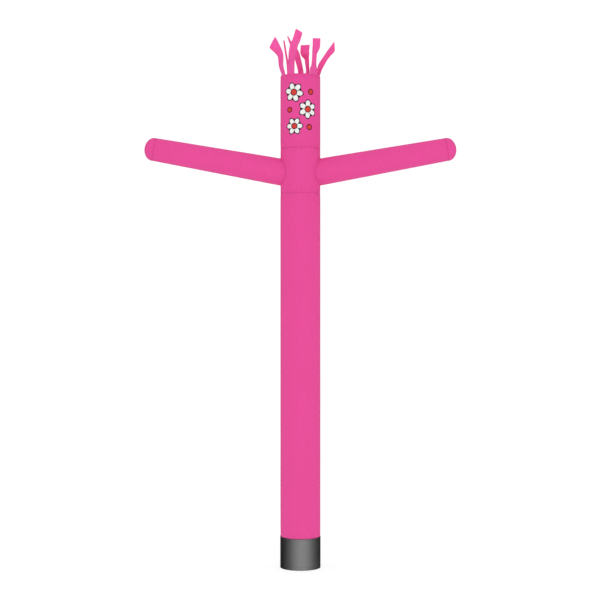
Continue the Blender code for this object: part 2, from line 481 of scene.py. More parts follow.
@dataclass(frozen=True)
class Drift:
    """Slow, uneven change over a surface: shade, handling marks and fine crumples."""

    shade_noise: Pair = (1.3, 3.0)  # how much of it lies in a metre, and how many finer layers it has
    marks_noise: Pair = (7.0, 5.0)
    marks_range: Pair = (0.52, 0.75)  # of the noise, where a mark starts and is full
    crumple_noise: Pair = (16.0, 3.0)
    crumple_stretch: Triple = (1.0, 1.0, 0.45)
    crumple_width: float = 0.16  # of the noise, from the top of a crumple to its foot

    def add(self, shader: Shader) -> Sequence[Output]:
        """Lays it on a piece's Object coordinates: shade, marks and crumples, each from 0 to 1."""
        tree = shared_group("cloth_drift", "", "Shade Marks Crumple", self._draw)
        return shader.node("Group", {"Vector": shader.node("TexCoord")["Object"]}, node_tree=tree)

    def _draw(self, shader: Shader, given: Outputs) -> Outputs:
        """Draws each change from noise.

        Args:
            shader: The group.
            given: Its inputs.

        Returns:
            What it puts out.
        """
        spot = given["Vector"]
        marks = shader.fit(shader.noise(spot, *self.marks_noise), *self.marks_range)
        creases = shader.noise(shader.scaled(spot, self.crumple_stretch), *self.crumple_noise)
        ridges = shader.math("ABSOLUTE", shader.math("SUBTRACT", creases, 0.5))
        return {
            "Shade": shader.noise(spot, *self.shade_noise),
            "Marks": marks,
            "Crumple": shader.fit(ridges, 0.0, self.crumple_width, 1.0, 0.0),
        }


@dataclass(frozen=True)
class Gathers:
    """The small folds that stitching draws in beside a seam."""

    close: float = 75.0  # how many lie in a metre along the seam
    long: float = 9.0

    def add(self, shader: Shader, cut: Output, upright: Output, level: Output) -> Output:
        """Lays them on a cloth's cut, as strong as its marks say: their height, from -1 to 1."""
        tree = shared_group("seam_gathers", "Upright Level", "Height", self._draw)
        return shader.node("Group", {"Vector": cut, "Upright": upright, "Level": level}, node_tree=tree)[0]

    def _draw(self, shader: Shader, given: Outputs) -> Outputs:
        """Draws both ways of folds.

        Args:
            shader: The group.
            given: Its inputs.

        Returns:
            What it puts out.
        """
        total = 0.0
        scales = {"Upright": (self.close, self.long, 1.0), "Level": (self.long, self.close, 1.0)}
        for key, scale in scales.items():
            folds = shader.noise(shader.scaled(given["Vector"], scale), 1.0)
            folds = shader.fit(folds, *NOISE, -1.0, 1.0)
            total = shader.math("MULTIPLY_ADD", folds, given[key], total)
        return {"Height": total}


def read_cut(shader: Shader) -> Output:
    """Reads a cloth's own cut in its material, in metres."""
    return shader.node("UVMap", uv_map=CLOTH_UV)[0]


def read_marks(shader: Shader) -> Sequence[Output]:
    """Reads a sheet's Marks in its material, in their own order."""
    return shader.axes(shader.node("Attribute", attribute_name=MARKS)["Vector"])


def new_material(name: str, plain: dict[str, object]) -> tuple[bpy.types.Material, Shader, bpy.types.Node]:
    """Starts a material.

    Args:
        name: Its name.
        plain: What is the same all over the surface, by the names of the Principled BSDF's sockets.

    Returns:
        The material, its shader, and its Principled BSDF.
    """
    material = bpy.data.materials.new(name)
    material.use_nodes = True
    surface = material.node_tree.nodes["Principled BSDF"]
    for label, value in plain.items():
        surface.inputs[label].default_value = value
    return material, Shader(material.node_tree), surface


@dataclass(frozen=True)
class Finish:
    """What every finish has, and how it becomes a material."""

    name: str
    colour: Colour
    roughness: float
    specular: float

    def material(self) -> bpy.types.Material:
        """Builds the material.

        Returns:
            The material.
        """
        plain = {"Specular IOR Level": self.specular, **self.plain()}
        material, shader, surface = new_material(self.name, plain)
        for label, value in self.draw(shader).items():
            shader.feed(surface.inputs[label], value)
        return material

    def plain(self) -> dict[str, object]:
        """What else is the same all over the surface."""
        return {}

    def draw(self, shader: Shader) -> Outputs:
        """Draws what changes over the surface, by the names of the Principled BSDF's sockets."""
        raise NotImplementedError

    def uneven(self, shader: Shader, shade: Output, by: float) -> Output:
        """The roughness, which drifts so far both ways."""
        return shader.fit(shade, *NOISE, self.roughness - by, self.roughness + by)


@dataclass(frozen=True)
class Nylon(Finish):
    """Thin coated ripstop nylon, held out by air."""

    name: str = "ripstop_nylon"
    colour: Colour = (0.875, 0.076, 0.346)
    roughness: float = 0.60
    specular: float = 0.22
    yarn_colour: Colour = (0.740, 0.046, 0.268)
    doubled_colour: Colour = (0.780, 0.058, 0.298)
    # The colour of the painted shade in the gathers' valleys and along the crumples' creases.
    painted_fold_shade_colour: Colour = (0.640, 0.040, 0.225)
    dimmed: float = 0.975  # how much of the colour is left where its shade drifts darkest
    dimmed_range: Pair = (0.35, 0.65)  # of that drift
    yarn_shade: float = 0.60
    doubled_shade: float = 0.25
    # Painted shade: how far the gathers' valleys and the crumples' creases are darkened towards that colour.
    gather_painted_shade: float = 0.32
    gather_valley: float = -0.55  # how low a gather lies where that shade is full
    crumple_painted_shade: float = 0.07
    worn: float = 0.08  # how much rougher the handling marks are
    yarn_gloss: float = 0.10
    grid_depth: float = 0.00022
    crumple_depth: float = 0.0012
    gather_depth: float = 0.0014
    sheer: float = 0.0  # the share of light that goes through a single layer
    light_reach: Triple = (0.010, 0.003, 0.004)  # how far each colour of it goes
    weave: Ripstop = Ripstop()

    def plain(self) -> dict[str, object]:
        """The light that goes through."""
        return {
            "Subsurface Weight": self.sheer,
            "Subsurface Radius": self.light_reach,
            "Subsurface Scale": 1.0,
        }

    def draw(self, shader: Shader) -> Outputs:
        """Draws the weave with its darker yarns, the crumples and the gathers, and paints shade into the
        last two.

        Args:
            shader: The material.

        Returns:
            Colour, roughness and normal.
        """
        cut = read_cut(shader)
        doubled, upright, level = read_marks(shader)
        grid, height = self.weave.add(shader, cut)
        shade, marks, crumple = Drift().add(shader)
        gathers = Gathers().add(shader, cut, upright, level)
        dim = tuple(self.dimmed * part for part in self.colour)
        colour = shader.mix(shader.fit(shade, *self.dimmed_range), dim, self.colour)
        yarns = shader.math("MULTIPLY", grid, self.yarn_shade)
        colour = shader.mix(yarns, colour, self.yarn_colour)
        double = shader.math("MULTIPLY", doubled, self.doubled_shade)
        colour = shader.mix(double, colour, self.doubled_colour)
        # Painted shade: the gathers' valleys and the crumples' creases are darkened in the colour itself.
        painted_shade_mask = shader.fit(gathers, 0.0, self.gather_valley, 0.0, self.gather_painted_shade)
        painted_shade_mask = shader.math("MULTIPLY_ADD", crumple, self.crumple_painted_shade, painted_shade_mask)
        rough = shader.fit(marks, 0.0, 1.0, self.roughness, self.roughness + self.worn)
        return {
            "Base Color": shader.mix(painted_shade_mask, colour, self.painted_fold_shade_colour),
            "Roughness": shader.math("MULTIPLY_ADD", yarns, -self.yarn_gloss, rough),
            "Normal": shader.relief(
                (self.crumple_depth, crumple), (self.gather_depth, gathers), (self.grid_depth, height),
            ),
        }


@dataclass(frozen=True)
class CoatedCloth(Finish):
    """Heavy black cloth with a smooth coating and a broad, soft shine."""

    name: str = "coated_cloth"
    colour: Colour = (0.0040, 0.0040, 0.0043)
    roughness: float = 0.52
    specular: float = 1.0
    index: float = 2.0
    scuffed_colour: Colour = (0.014, 0.014, 0.015)
    scuffs: float = 0.5  # how much of the scuffed colour the handling marks have
    edge_scuffs: float = 0.12
    scuffed_rough: float = 0.06
    rough_drift: float = 0.03
    weave_pitch: float = 0.0016
    weave_depth: float = 0.00012
    crumple_depth: float = 0.0004
    gather_depth: float = 0.0005

    def plain(self) -> dict[str, object]:
        """The coating's gloss."""
        return {"IOR": self.index}

    def draw(self, shader: Shader) -> Outputs:
        """Draws the weave under the coating, the crumples, the gathers and the scuffs.

        Args:
            shader: The material.

        Returns:
            Colour, roughness and normal.
        """
        cut = read_cut(shader)
        doubled, upright, level = read_marks(shader)
        shade, marks, crumple = Drift().add(shader)
        gathers = Gathers().add(shader, cut, upright, level)
        waves = [shader.wave(way, self.weave_pitch) for way in shader.axes(cut)[:2]]
        scuffs = shader.math("MULTIPLY", marks, self.scuffs)
        scuffs = shader.math("MULTIPLY_ADD", doubled, self.edge_scuffs, scuffs)
        rough = self.uneven(shader, shade, self.rough_drift)
        return {
            "Base Color": shader.mix(scuffs, self.colour, self.scuffed_colour),
            "Roughness": shader.math("MULTIPLY_ADD", scuffs, self.scuffed_rough, rough),
            "Normal": shader.relief(
                (self.crumple_depth, crumple),
                (self.gather_depth, gathers),
                (self.weave_depth, shader.math("MULTIPLY", *waves)),
            ),
        }


@dataclass(frozen=True)
class Ink(Finish):
    """Screen-print ink on the nylon, with the weave showing through it."""

    roughness: float = 0.55
    specular: float = 0.25
    grid_shade: float = 0.25
    marks_shade: float = 0.10
    fading: Pair = (0.9, 0.02)  # how much of the colour stays where it is faded, and the haze over it
    rough_drift: float = 0.04
    grid_depth: float = 0.00010
    weave: Ripstop = Ripstop()

    def draw(self, shader: Shader) -> Outputs:
        """Draws the weave and the wear.

        Args:
            shader: The material.

        Returns:
            Colour, roughness and normal.
        """
        grid, height = self.weave.add(shader, read_cut(shader))
        shade, marks, _ = Drift().add(shader)
        thin = shader.math("MULTIPLY", grid, self.grid_shade)
        thin = shader.math("MULTIPLY_ADD", marks, self.marks_shade, thin)
        faded = tuple(self.fading[0] * part + self.fading[1] for part in self.colour)
        return {
            "Base Color": shader.mix(thin, self.colour, faded),
            "Roughness": self.uneven(shader, shade, self.rough_drift),
            "Normal": shader.relief((self.grid_depth, height)),
        }


@dataclass(frozen=True)
class Thread(Finish):
    """Twisted sewing thread."""

    roughness: float = 0.6
    specular: float = 0.3
    twist: float = 1400.0  # how many plies lie in a metre
    # Painted shade in the grooves between the plies.
    painted_shade_between_plies: float = 0.8  # how much of the colour is left there
    rough_more: float = 0.1

    def draw(self, shader: Shader) -> Outputs:
        """Draws the plies, with shade painted between them.

        Args:
            shader: The material.

        Returns:
            Colour and roughness.
        """
        ply = shader.noise(shader.node("TexCoord")["Object"], self.twist, 1.0)
        # Painted shade: the colour is darkened between the plies.
        dark = tuple(self.painted_shade_between_plies * part for part in self.colour)
        return {
            "Base Color": shader.mix(ply, dark, self.colour),
            "Roughness": shader.fit(ply, *NOISE, self.roughness, self.roughness + self.rough_more),
        }


# ---- Pieces ------------------------------------------------------------------


def wear(made: bpy.types.Object, material: bpy.types.Material, slot: Slot, *nodes: str) -> bpy.types.Object:
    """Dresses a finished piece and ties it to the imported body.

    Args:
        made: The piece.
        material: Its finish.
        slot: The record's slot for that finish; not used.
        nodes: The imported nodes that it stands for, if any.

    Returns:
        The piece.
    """
    made.data.materials.clear()
    made.data.materials.append(material)
    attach(made, BODY)
    if nodes:
        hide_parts(*nodes)
    LOG.info("%s: %d faces", made.name, len(made.data.polygons))
    return made


@dataclass(frozen=True)
class Stitching:
    """A thread, and the stitches that it is sewn in along lines on the cloth."""

    material: bpy.types.Material
    slot: Slot
    thread: float = 0.0010
    pitch: float = 0.0070
    stitch: float = 0.0056
    pulled: float = 0.55  # how thick a stitch is left at its ends
    sides: int = 5

    def rows(self, name: str, lines: Sequence[Sequence[Vector]], closed: bool) -> list[bpy.types.Object]:
        """Sews a row along each of some lines, which are numbered from 1."""
        return [self.row(f"{name}_row_{number}", line, closed) for number, line in enumerate(lines, 1)]

    def row(self, name: str, line: Sequence[Vector], closed: bool) -> bpy.types.Object:
        """Sets one stitch in an array along a line.

        Args:
            name: The row's name.
            line: The line.
            closed: True where its last point joins its first.

        Returns:
            The row as one mesh.
        """
        path = self._path(f"{name}_line", line, closed)
        length = path.data.splines[0].calc_length()
        count = max(int(length / self.pitch), 1)
        made = new_object(name, self._stitch())
        array = made.modifiers.new("row", "ARRAY")
        array.count = count
        array.use_relative_offset = False
        array.use_constant_offset = True
        array.constant_offset_displace = (length / count, 0.0, 0.0)
        made.modifiers.new("line", "CURVE").object = path
        make_real(made)
        bpy.data.objects.remove(path, do_unlink=True)
        return wear(made, self.material, self.slot)

    def _path(self, name: str, line: Sequence[Vector], closed: bool) -> bpy.types.Object:
        """Makes a line a curve object.

        Args:
            name: Its name.
            line: The line.
            closed: True where its last point joins its first.

        Returns:
            The curve.
        """
        curve = bpy.data.curves.new(name, "CURVE")
        curve.dimensions = "3D"
        spline = curve.splines.new("POLY")
        spline.points.add(len(line) - 1)
        for point, spot in zip(spline.points, line):
            point.co = (*spot, 1.0)
        spline.use_cyclic_u = closed
        path = bpy.data.objects.new(name, curve)
        bpy.context.scene.collection.objects.link(path)
        return path

    def _stitch(self) -> bmesh.types.BMesh:
        """Shapes one stitch along X.

        Returns:
            The stitch, thicker in the middle and pulled down into the cloth at its ends.
        """
        bm = bmesh.new()
        bmesh.ops.create_cone(
            bm, cap_ends=True, cap_tris=False, segments=self.sides,
            radius1=self.thread / 2, radius2=self.thread / 2, depth=self.stitch,
        )
        lengthwise = [e for e in bm.edges if abs(e.verts[0].co.z - e.verts[1].co.z) > self.thread]
        bmesh.ops.subdivide_edges(bm, edges=lengthwise, cuts=1, use_grid_fill=True)
        for vert in bm.verts:
            if abs(vert.co.z) > self.stitch / 4:
                vert.co.x *= self.pulled
                vert.co.y *= self.pulled
            vert.co = Vector((vert.co.z + self.pitch / 2, vert.co.x, vert.co.y))
        bmesh.ops.recalc_face_normals(bm, faces=bm.faces[:])
        return bm


class Wardrobe:
    """The finishes and the threads, each made once."""

    def __init__(self) -> None:
        """Makes the materials."""
        self.nylon = Nylon().material()
        # The ribbons' sheer nylon: its pink and its yarns are painted lighter than the tube's to offset the
        # shade the ribbons stand in.
        self.single_nylon_painted_lighter = Nylon(
            name="ripstop_nylon_single_painted_lighter", colour=(0.940, 0.102, 0.365), yarn_colour=(0.830, 0.072, 0.292),
            sheer=0.50,
        ).material()
        self.coated = CoatedCloth().material()
        self.inks = {
            Slot.WHITE_INK: Ink("ink_white", (0.900, 0.900, 0.890)).material(),
            Slot.BLACK_INK: Ink("ink_black", (0.012, 0.008, 0.010)).material(),
            Slot.RED_INK: Ink("ink_red", (0.700, 0.040, 0.032)).material(),
        }
        pink = Thread("thread_pink", (0.740, 0.055, 0.275)).material()
        black = Thread("thread_black", (0.016, 0.016, 0.017)).material()
        self.pink_thread = Stitching(pink, Slot.NYLON)
        self.black_thread = Stitching(black, Slot.COATED, thread=0.0012)


@dataclass(frozen=True)
class RingSeam:
    """A seam or hem round the tube, and the puckers that it draws in the cloth."""

    height: float
    draw: float = 0.0006
    pucker: float = 0.0030
    reach: float = 0.050
    gather: float = 1.0  # how strong the small folds beside it are


@dataclass(frozen=True)
class TubeForm:
    """The outer face of the tube as the air holds it, with what its seams draw in.

    A ripple's two numbers say how many of its waves lie in a radian round the tube, and how many in a
    metre up it. A shift keeps it apart from the other ripples.
    """

    radius: float = 0.2286
    foot: float = 0.326
    cuff_edge: float = 0.356
    shoulder_seam: float = 4.260
    neck_seam: float = 4.770
    rim: float = 5.600
    seam_up: float = 0.006  # from a panel's edge to the middle of the seam there
    hem_down: float = 0.027
    draw_width: float = 0.010
    puckers: Pair = (7.5, 3.0)
    pucker_shift: float = 9.0  # for each metre that a seam is up
    drift: float = 0.0012
    drift_ripple: Pair = (1.1, 1.7)
    back_draw: float = 0.0016
    back_width: float = 0.016
    back_pucker: float = 0.0013
    back_reach: float = 0.035
    back_far: float = 0.2  # how far away the seam's effect is left out
    back_puckers: float = 14.0  # in a metre
    back_shift: Pair = (3.7, 5.1)
    back_gathers: Pair = (0.6, 0.025)  # how strong the small folds are there, and their reach
    arm_height: float = 4.513
    arm_rise: float = math.radians(10.1)
    arm_radius: float = 0.1545
    arm_pucker: float = 0.0022
    arm_reach: float = 0.055
    arm_puckers: float = 5.0  # in a radian round the arm
    arm_gathers: Triple = (0.7, 0.5, 0.033)  # upright, level and their reach

    def seams(self) -> tuple[RingSeam, ...]:
        """The seams and hems that run round the tube, from the lowest up."""
        return (
            RingSeam(self.cuff_edge, draw=0.0, pucker=0.0034, reach=0.070),
            RingSeam(self.shoulder_seam + self.seam_up),
            RingSeam(self.neck_seam + self.seam_up),
            RingSeam(self.rim - self.hem_down, pucker=0.0016, reach=0.030, gather=0.6),
        )

    def drawn_in(self, angle: float, height: float) -> float:
        """How far the cloth lies inside the plain tube.

        Args:
            angle: The angle round the tube.
            height: The height above the ground.

        Returns:
            A distance, 0 or more.
        """
        around, up = self.drift_ripple
        depth = self.drift * ripple(on_circle(angle, around, up * height))
        around, down = self.puckers
        for seam in self.seams():
            away = abs(height - seam.height)
            if away > FAR * seam.reach:
                continue
            spot = on_circle(angle, around, self.pucker_shift * seam.height + down * away)
            depth += seam.pucker * fade(away, seam.reach) * ripple(spot)
            depth += seam.draw * crease(away, self.draw_width)
        away = arc_to(BACK, angle, self.radius)
        if away < self.back_far:
            puckers = ripple(Vector((*self.back_shift, height * self.back_puckers)))
            depth += self.back_pucker * fade(away, self.back_reach) * puckers
            depth += self.back_draw * crease(away, self.back_width)
        away, turn = self.to_arm(angle, height)
        if away < FAR * self.arm_reach:
            puckers = ripple(on_circle(turn, self.arm_puckers, math.cos(angle)))
            depth += self.arm_pucker * fade(max(away, 0.0), self.arm_reach) * puckers
        return depth

    def gathers(self, angle: float, height: float) -> Pair:
        """How strong the small folds beside the seams are.

        Args:
            angle: The angle round the tube.
            height: The height above the ground.

        Returns:
            The strength of those that run up the cloth, and of those that run across it.
        """
        upright = max(fade(height - seam.height, seam.reach) * seam.gather for seam in self.seams())
        along, across, reach = self.arm_gathers
        arm = fade(max(self.to_arm(angle, height)[0], 0.0), reach)
        strength, reach = self.back_gathers
        back = fade(arc_to(BACK, angle, self.radius), reach)
        return max(upright, along * arm), max(strength * back, across * arm)

    def to_arm(self, angle: float, height: float) -> Pair:
        """Where a point of the wall lies as seen from the nearer arm.

        Args:
            angle: The angle round the tube.
            height: The height above the ground.

        Returns:
            How far it lies outside that arm's seam, and its turn round the arm.
        """
        inward = self.radius * (abs(math.cos(angle)) - 1)
        back = self.radius * math.sin(angle)
        above = height - self.arm_height
        up = above * math.cos(self.arm_rise) - inward * math.sin(self.arm_rise)
        return math.hypot(back, up) - self.arm_radius, math.atan2(up, back)

    def point(self, angle: float, height: float, proud: float = 0.0) -> Vector:
        """A point on the cloth, or so far proud of it."""
        return on_circle(angle, self.radius - self.drawn_in(angle, height) + proud, height)


@dataclass(frozen=True)
class Roll:
    """How a flat cut is rolled into a tube and lapped on itself."""

    radius: float
    lap: float = 0.014
    drop: float = 0.0015  # how far its under layer lies below the outer one
    step: float = 0.012  # over what length it gets there
    edge: float = 0.004  # over what length its mark fades beside it

    @property
    def width(self) -> float:
        """The cut's width."""
        return math.tau * self.radius + self.lap

    def angle(self, across: float) -> float:
        """The angle round the tube at a distance across the cut, which starts at the back."""
        return BACK + across / self.radius

    def under(self, across: float) -> float:
        """How far the cut lies under its own outer edge, where that laps it."""
        return self.drop * (1 - smooth_step(across, self.lap, self.lap + self.step))

    def lapped(self, across: float) -> float:
        """1 on the lap's outer layer, fading beside it."""
        return smooth_step(across, self.width - self.lap - self.edge, self.width - self.lap)


@dataclass(frozen=True)
class Hem:
    """An edge that is turned in: a half round, and the cloth that runs back behind it."""

    depth: float
    inset: float  # of the cloth behind
    turn_steps: int
    behind_steps: int

    @property
    def half(self) -> float:
        """The turn's radius."""
        return self.inset / 2

    @property
    def fold(self) -> float:
        """How much cloth lies in the turn."""
        return math.pi * self.half

    def path(self, past: float) -> Pair:
        """Where the cloth lies so far past the start of the turn.

        Args:
            past: The distance along the cloth, below 0 before the turn.

        Returns:
            How far towards the edge, counted from the same start, and how far inside the outer face.
        """
        turn = past / self.half
        if turn <= 0:
            return past, 0.0
        if turn >= math.pi:
            return self.fold - past, self.inset
        return self.half * math.sin(turn), self.half * (1 - math.cos(turn))


def level_line(point: Place, height: float, columns: int) -> list[Vector]:
    """A line round a tube at one height, by the rule for its points at an angle and a height."""
    return [point(angle, height) for angle in spread(BACK, BACK + math.tau, columns)[:-1]]


def upright_line(point: Place, angle: float, low: float, high: float, steps: int) -> list[Vector]:
    """A line up a tube at one angle, by the same rule."""
    return [point(angle, height) for height in spread(low, high, steps)]


@dataclass
class TubePanel:
    """A panel of the tube: one cut of nylon, rolled, lapped at the back and joined to its neighbours."""

    form: TubeForm
    name: str
    node: str
    low: float
    high: float
    rows: int
    columns: int = 192
    crowd: float = 0.45
    under_next: float = 0.012  # how far its upper end runs on under the panel above
    step_down: float = 0.004  # how far below that panel it starts to
    hem: Hem | None = None  # along its upper end, where it has no panel above
    holes: bool = False
    hole_inset: float = 0.0060
    lower_edge: Pair = (0.010, 0.018)  # from where to where the lower seam's double cloth runs out
    hole_edge: Pair = (0.006, 0.014)  # the same round an arm hole
    hem_edge: float = 0.004  # over what length the hem's does
    back_rows: Pair = (0.004, 0.010)  # of stitches, from the edge of the lap
    ring_rows: Pair = (0.003, 0.009)  # above the lower seam
    hem_rows: Pair = (0.003, 0.005)  # above the hem's inner edge and below the rim
    row_end: float = 0.004
    row_step: float = 0.02
    roll: Roll = field(init=False)

    def __post_init__(self) -> None:
        """Says how the panel is rolled."""
        self.roll = Roll(self.form.radius)

    def build(self, finishes: Wardrobe, prints: Sequence[bpy.types.Object] = ()) -> bpy.types.Object:
        """Cuts, rolls and dresses the panel.

        Args:
            finishes: The finishes.
            prints: The films of ink that lie on it; not used.

        Returns:
            The panel.
        """
        flat = (self.roll.width, self._length())
        area = flat[0] * flat[1]
        if self.holes:
            area -= 2 * math.pi * (self.form.arm_radius - self.hole_inset) ** 2
        bm = grid_sheet(
            spread(0.0, flat[0], self.columns), self._rows(), self._place, self._mark,
            outside=self._outside if self.holes else None,
        )
        made = wear(cloth_object(self.name, bm), finishes.nylon, Slot.NYLON, self.node)
        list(self._stitches(finishes.pink_thread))
        return made

    def _length(self) -> float:
        """The cut's length, hem and all."""
        return self.high - self.low + (self.hem.depth + self.hem.fold if self.hem else self.under_next)

    def _rows(self) -> list[float]:
        """Sets out the rows of the cut.

        Returns:
            Their distances from its lower edge.
        """
        height, length = self.high - self.low, self._length()
        if not self.hem:
            rows = spread(0.0, height - self.step_down, self.rows, self.crowd)
            return rows + [height - self.step_down / 2, height, height + self.under_next / 2, length]
        start = height - self.hem.half
        end = start + self.hem.fold
        return joined(
            spread(0.0, start, self.rows, self.crowd),
            spread(start, end, self.hem.turn_steps),
            spread(end, length, self.hem.behind_steps),
        )

    def _path(self, along: float) -> Pair:
        """Where a row of the cut lies.

        Args:
            along: The distance along the cut from its lower edge.

        Returns:
            Its height, and how far it lies inside the tube's outer face.
        """
        height = self.low + along
        if not self.hem:
            return height, self.roll.drop * smooth_step(height, self.high - self.step_down, self.high)
        start = self.high - self.hem.half
        up, inset = self.hem.path(height - start)
        return start + up, inset

    def _place(self, across: float, along: float) -> Vector:
        """Where a point of the cut lies."""
        height, inset = self._path(along)
        return self.form.point(self.roll.angle(across), height, -inset - self.roll.under(across))

    def _outside(self, across: float, along: float) -> float:
        """How far a point of the cut lies outside the arm holes, whose edges lie inside the sleeves."""
        return self.form.to_arm(self.roll.angle(across), self.low + along)[0] + self.hole_inset

    def _mark(self, across: float, along: float) -> Marks:
        """What the back lap, the lower seam, the hem and the arm holes do to the cloth.

        Args:
            across: The distance across the cut.
            along: The distance along it.

        Returns:
            The marks there.
        """
        angle, height = self.roll.angle(across), self.low + along
        doubled = [self.roll.lapped(across), 1 - smooth_step(along, *self.lower_edge)]
        if self.hem:
            hem = self.high - self.hem.depth
            doubled.append(smooth_step(height, hem - self.hem_edge, hem))
        if self.holes:
            doubled.append(1 - smooth_step(self.form.to_arm(angle, height)[0], *self.hole_edge))
        return Marks(max(doubled), *self.form.gathers(angle, height))

    def _stitches(self, thread: Stitching) -> list[bpy.types.Object]:
        """Sews the lap at the back and the seams or hems round the panel.

        Args:
            thread: What they are sewn with.

        Returns:
            The rows of stitches.
        """
        point, low, high = self.form.point, self.low + self.row_end, self.high - self.row_end
        steps = int((self.high - self.low) / self.row_step)
        turns = [BACK + off / self.form.radius for off in self.back_rows]
        back = [upright_line(point, turn, low, high, steps) for turn in turns]
        rings = [level_line(point, height, self.columns) for height in self._ring_heights()]
        return thread.rows(f"{self.name}_back", back, False) + thread.rows(f"{self.name}_ring", rings, True)

    def _ring_heights(self) -> list[float]:
        """Heights of the rows of stitches round the panel.

        Returns:
            Those of the lower seam, unless the cuff hides it, and those of the hem.
        """
        heights = []
        if self.low > self.form.cuff_edge:
            heights += [self.low + up for up in self.ring_rows]
        if self.hem:
            heights += [self.high - self.hem.depth + self.hem_rows[0], self.high - self.hem_rows[1]]
        return heights


@dataclass(frozen=True)
class ArmForm:
    """The outer face of one arm: a tapered sleeve that rises from the tube and a round end.

    Its turns count from the seam under the arm. Ripples and shifts are as in TubeForm, along the arm.
    """

    side: int  # 1 for the arm towards +X, -1 for the other
    tube: TubeForm
    length: float = 1.469
    end_radius: float = 0.1320
    end_depth: float = 0.106
    gap: float = 0.0006  # from the tube's cloth to the root
    flare: Pair = (0.0028, 0.0035)  # how far the root stands out, and its reach
    drift: float = 0.0012
    drift_ripple: Pair = (0.9, 2.3)
    drift_shift: float = 7.0  # one way for each arm, as is the root's
    root_pucker: float = 0.0030
    root_reach: float = 0.075
    root_ripple: Pair = (4.2, 2.0)
    root_shift: float = 3.0
    end_pucker: float = 0.0020
    end_reach: float = 0.040
    end_ripple: Pair = (4.8, 3.0)
    end_shift: Triple = (5.0, 0.0, 0.0)
    tip_ripple: Pair = (4.8, 1.92)
    seam_draw: float = 0.0012
    seam_width: float = 0.014
    seam_pucker: float = 0.0010
    seam_reach: float = 0.03
    seam_ripple: float = 17.0  # in a metre
    seam_shift: Pair = (1.3, 8.8)
    seam_gathers: Pair = (0.6, 0.022)  # how strong the small folds are there, and their reach
    darts: int = 4
    dart_depth: float = 0.0016
    dart_width: float = 0.007
    dart_ends: Pair = (0.75, 1.25)  # how far up the round end they run out

    @property
    def root_radius(self) -> float:
        """The sleeve's radius where it leaves the tube."""
        return self.tube.arm_radius

    def radius(self, along: float) -> float:
        """The sleeve's plain radius at a distance from the tube's wall."""
        return self.root_radius + (self.end_radius - self.root_radius) * along / self.length

    def spot(self, turn: float, along: float, radius: float) -> Vector:
        """A point in the arm's own directions.

        Args:
            turn: The turn round the arm, 0 underneath.
            along: The distance along it from the tube's wall.
            radius: The distance from its axis.

        Returns:
            The point.
        """
        slope, rise = math.cos(self.tube.arm_rise), math.sin(self.tube.arm_rise)
        start = Vector((self.side * self.tube.radius, 0.0, self.tube.arm_height))
        axis, down = Vector((self.side * slope, 0.0, rise)), Vector((self.side * rise, 0.0, -slope))
        across = axis.cross(down)
        return start + axis * along + (down * math.cos(turn) + across * math.sin(turn)) * radius

    def root(self, turn: float) -> float:
        """How far along the sleeve its root edge lies at a turn round it, with both faces off the tube."""
        return max(self._on_tube(turn, 0.0), self._on_tube(turn, CLOTH))

    def _on_tube(self, turn: float, deep: float) -> float:
        """Finds where a line along the sleeve meets the tube, by halving.

        Args:
            turn: The line's turn round the arm.
            deep: How deep in the sleeve's cloth it lies.

        Returns:
            How far along the sleeve that is.
        """
        near, far = -self.root_radius, self.root_radius
        for _ in range(HALVINGS):
            middle = (near + far) / 2
            spot = self.spot(turn, middle, self.radius(middle) - deep)
            wall = self.tube.point(math.atan2(spot.y, spot.x), spot.z, self.gap)
            if math.hypot(spot.x, spot.y) < math.hypot(wall.x, wall.y):
                near = middle
            else:
                far = middle
        return (near + far) / 2

    def drawn_in(self, turn: float, along: float, from_root: float) -> float:
        """How far the cloth lies inside the plain sleeve.

        Args:
            turn: The turn round the arm.
            along: The distance along it.
            from_root: The distance from the sleeve's root.

        Returns:
            A distance, 0 or more.
        """
        around, out = self.drift_ripple
        depth = self.drift * ripple(on_circle(turn, around, out * along + self.drift_shift * self.side))
        around, out = self.root_ripple
        puckers = ripple(on_circle(turn, around, out * from_root + self.root_shift * self.side))
        depth += self.root_pucker * fade(from_root, self.root_reach) * puckers
        around, out = self.end_ripple
        to_end = self.length - along
        puckers = ripple(on_circle(turn, around, out * to_end + self.side) + Vector(self.end_shift))
        depth += self.end_pucker * fade(to_end, self.end_reach) * puckers
        away = arc_to(0.0, turn, self.end_radius)
        puckers = ripple(Vector((*self.seam_shift, along * self.seam_ripple)))
        depth += self.seam_draw * crease(away, self.seam_width)
        return depth + self.seam_pucker * fade(away, self.seam_reach) * puckers

    def gathers(self, turn: float, along: float, from_root: float) -> Pair:
        """How strong the small folds beside the sleeve's seams are.

        Args:
            turn: The turn round the arm.
            along: The distance along it.
            from_root: The distance from the sleeve's root.

        Returns:
            The strength of those that run along the sleeve, and of those that run round it.
        """
        ends = max(fade(from_root, self.root_reach / 2), fade(self.length - along, self.end_reach))
        strength, reach = self.seam_gathers
        return ends, strength * fade(arc_to(0.0, turn, self.end_radius), reach)

    def point(self, turn: float, along: float, proud: float = 0.0, root: float | None = None) -> Vector:
        """A point on the sleeve's cloth, or so far proud of it.

        Args:
            turn: The turn round the arm.
            along: The distance along it.
            proud: How far proud of the cloth.
            root: Where the sleeve's root lies at that turn, if it is known already.

        Returns:
            The point.
        """
        from_root = max(along - (self.root(turn) if root is None else root), 0.0)
        flare, reach = self.flare
        out = flare * fade(from_root, reach) + proud
        return self.spot(turn, along, self.radius(along) - self.drawn_in(turn, along, from_root) + out)

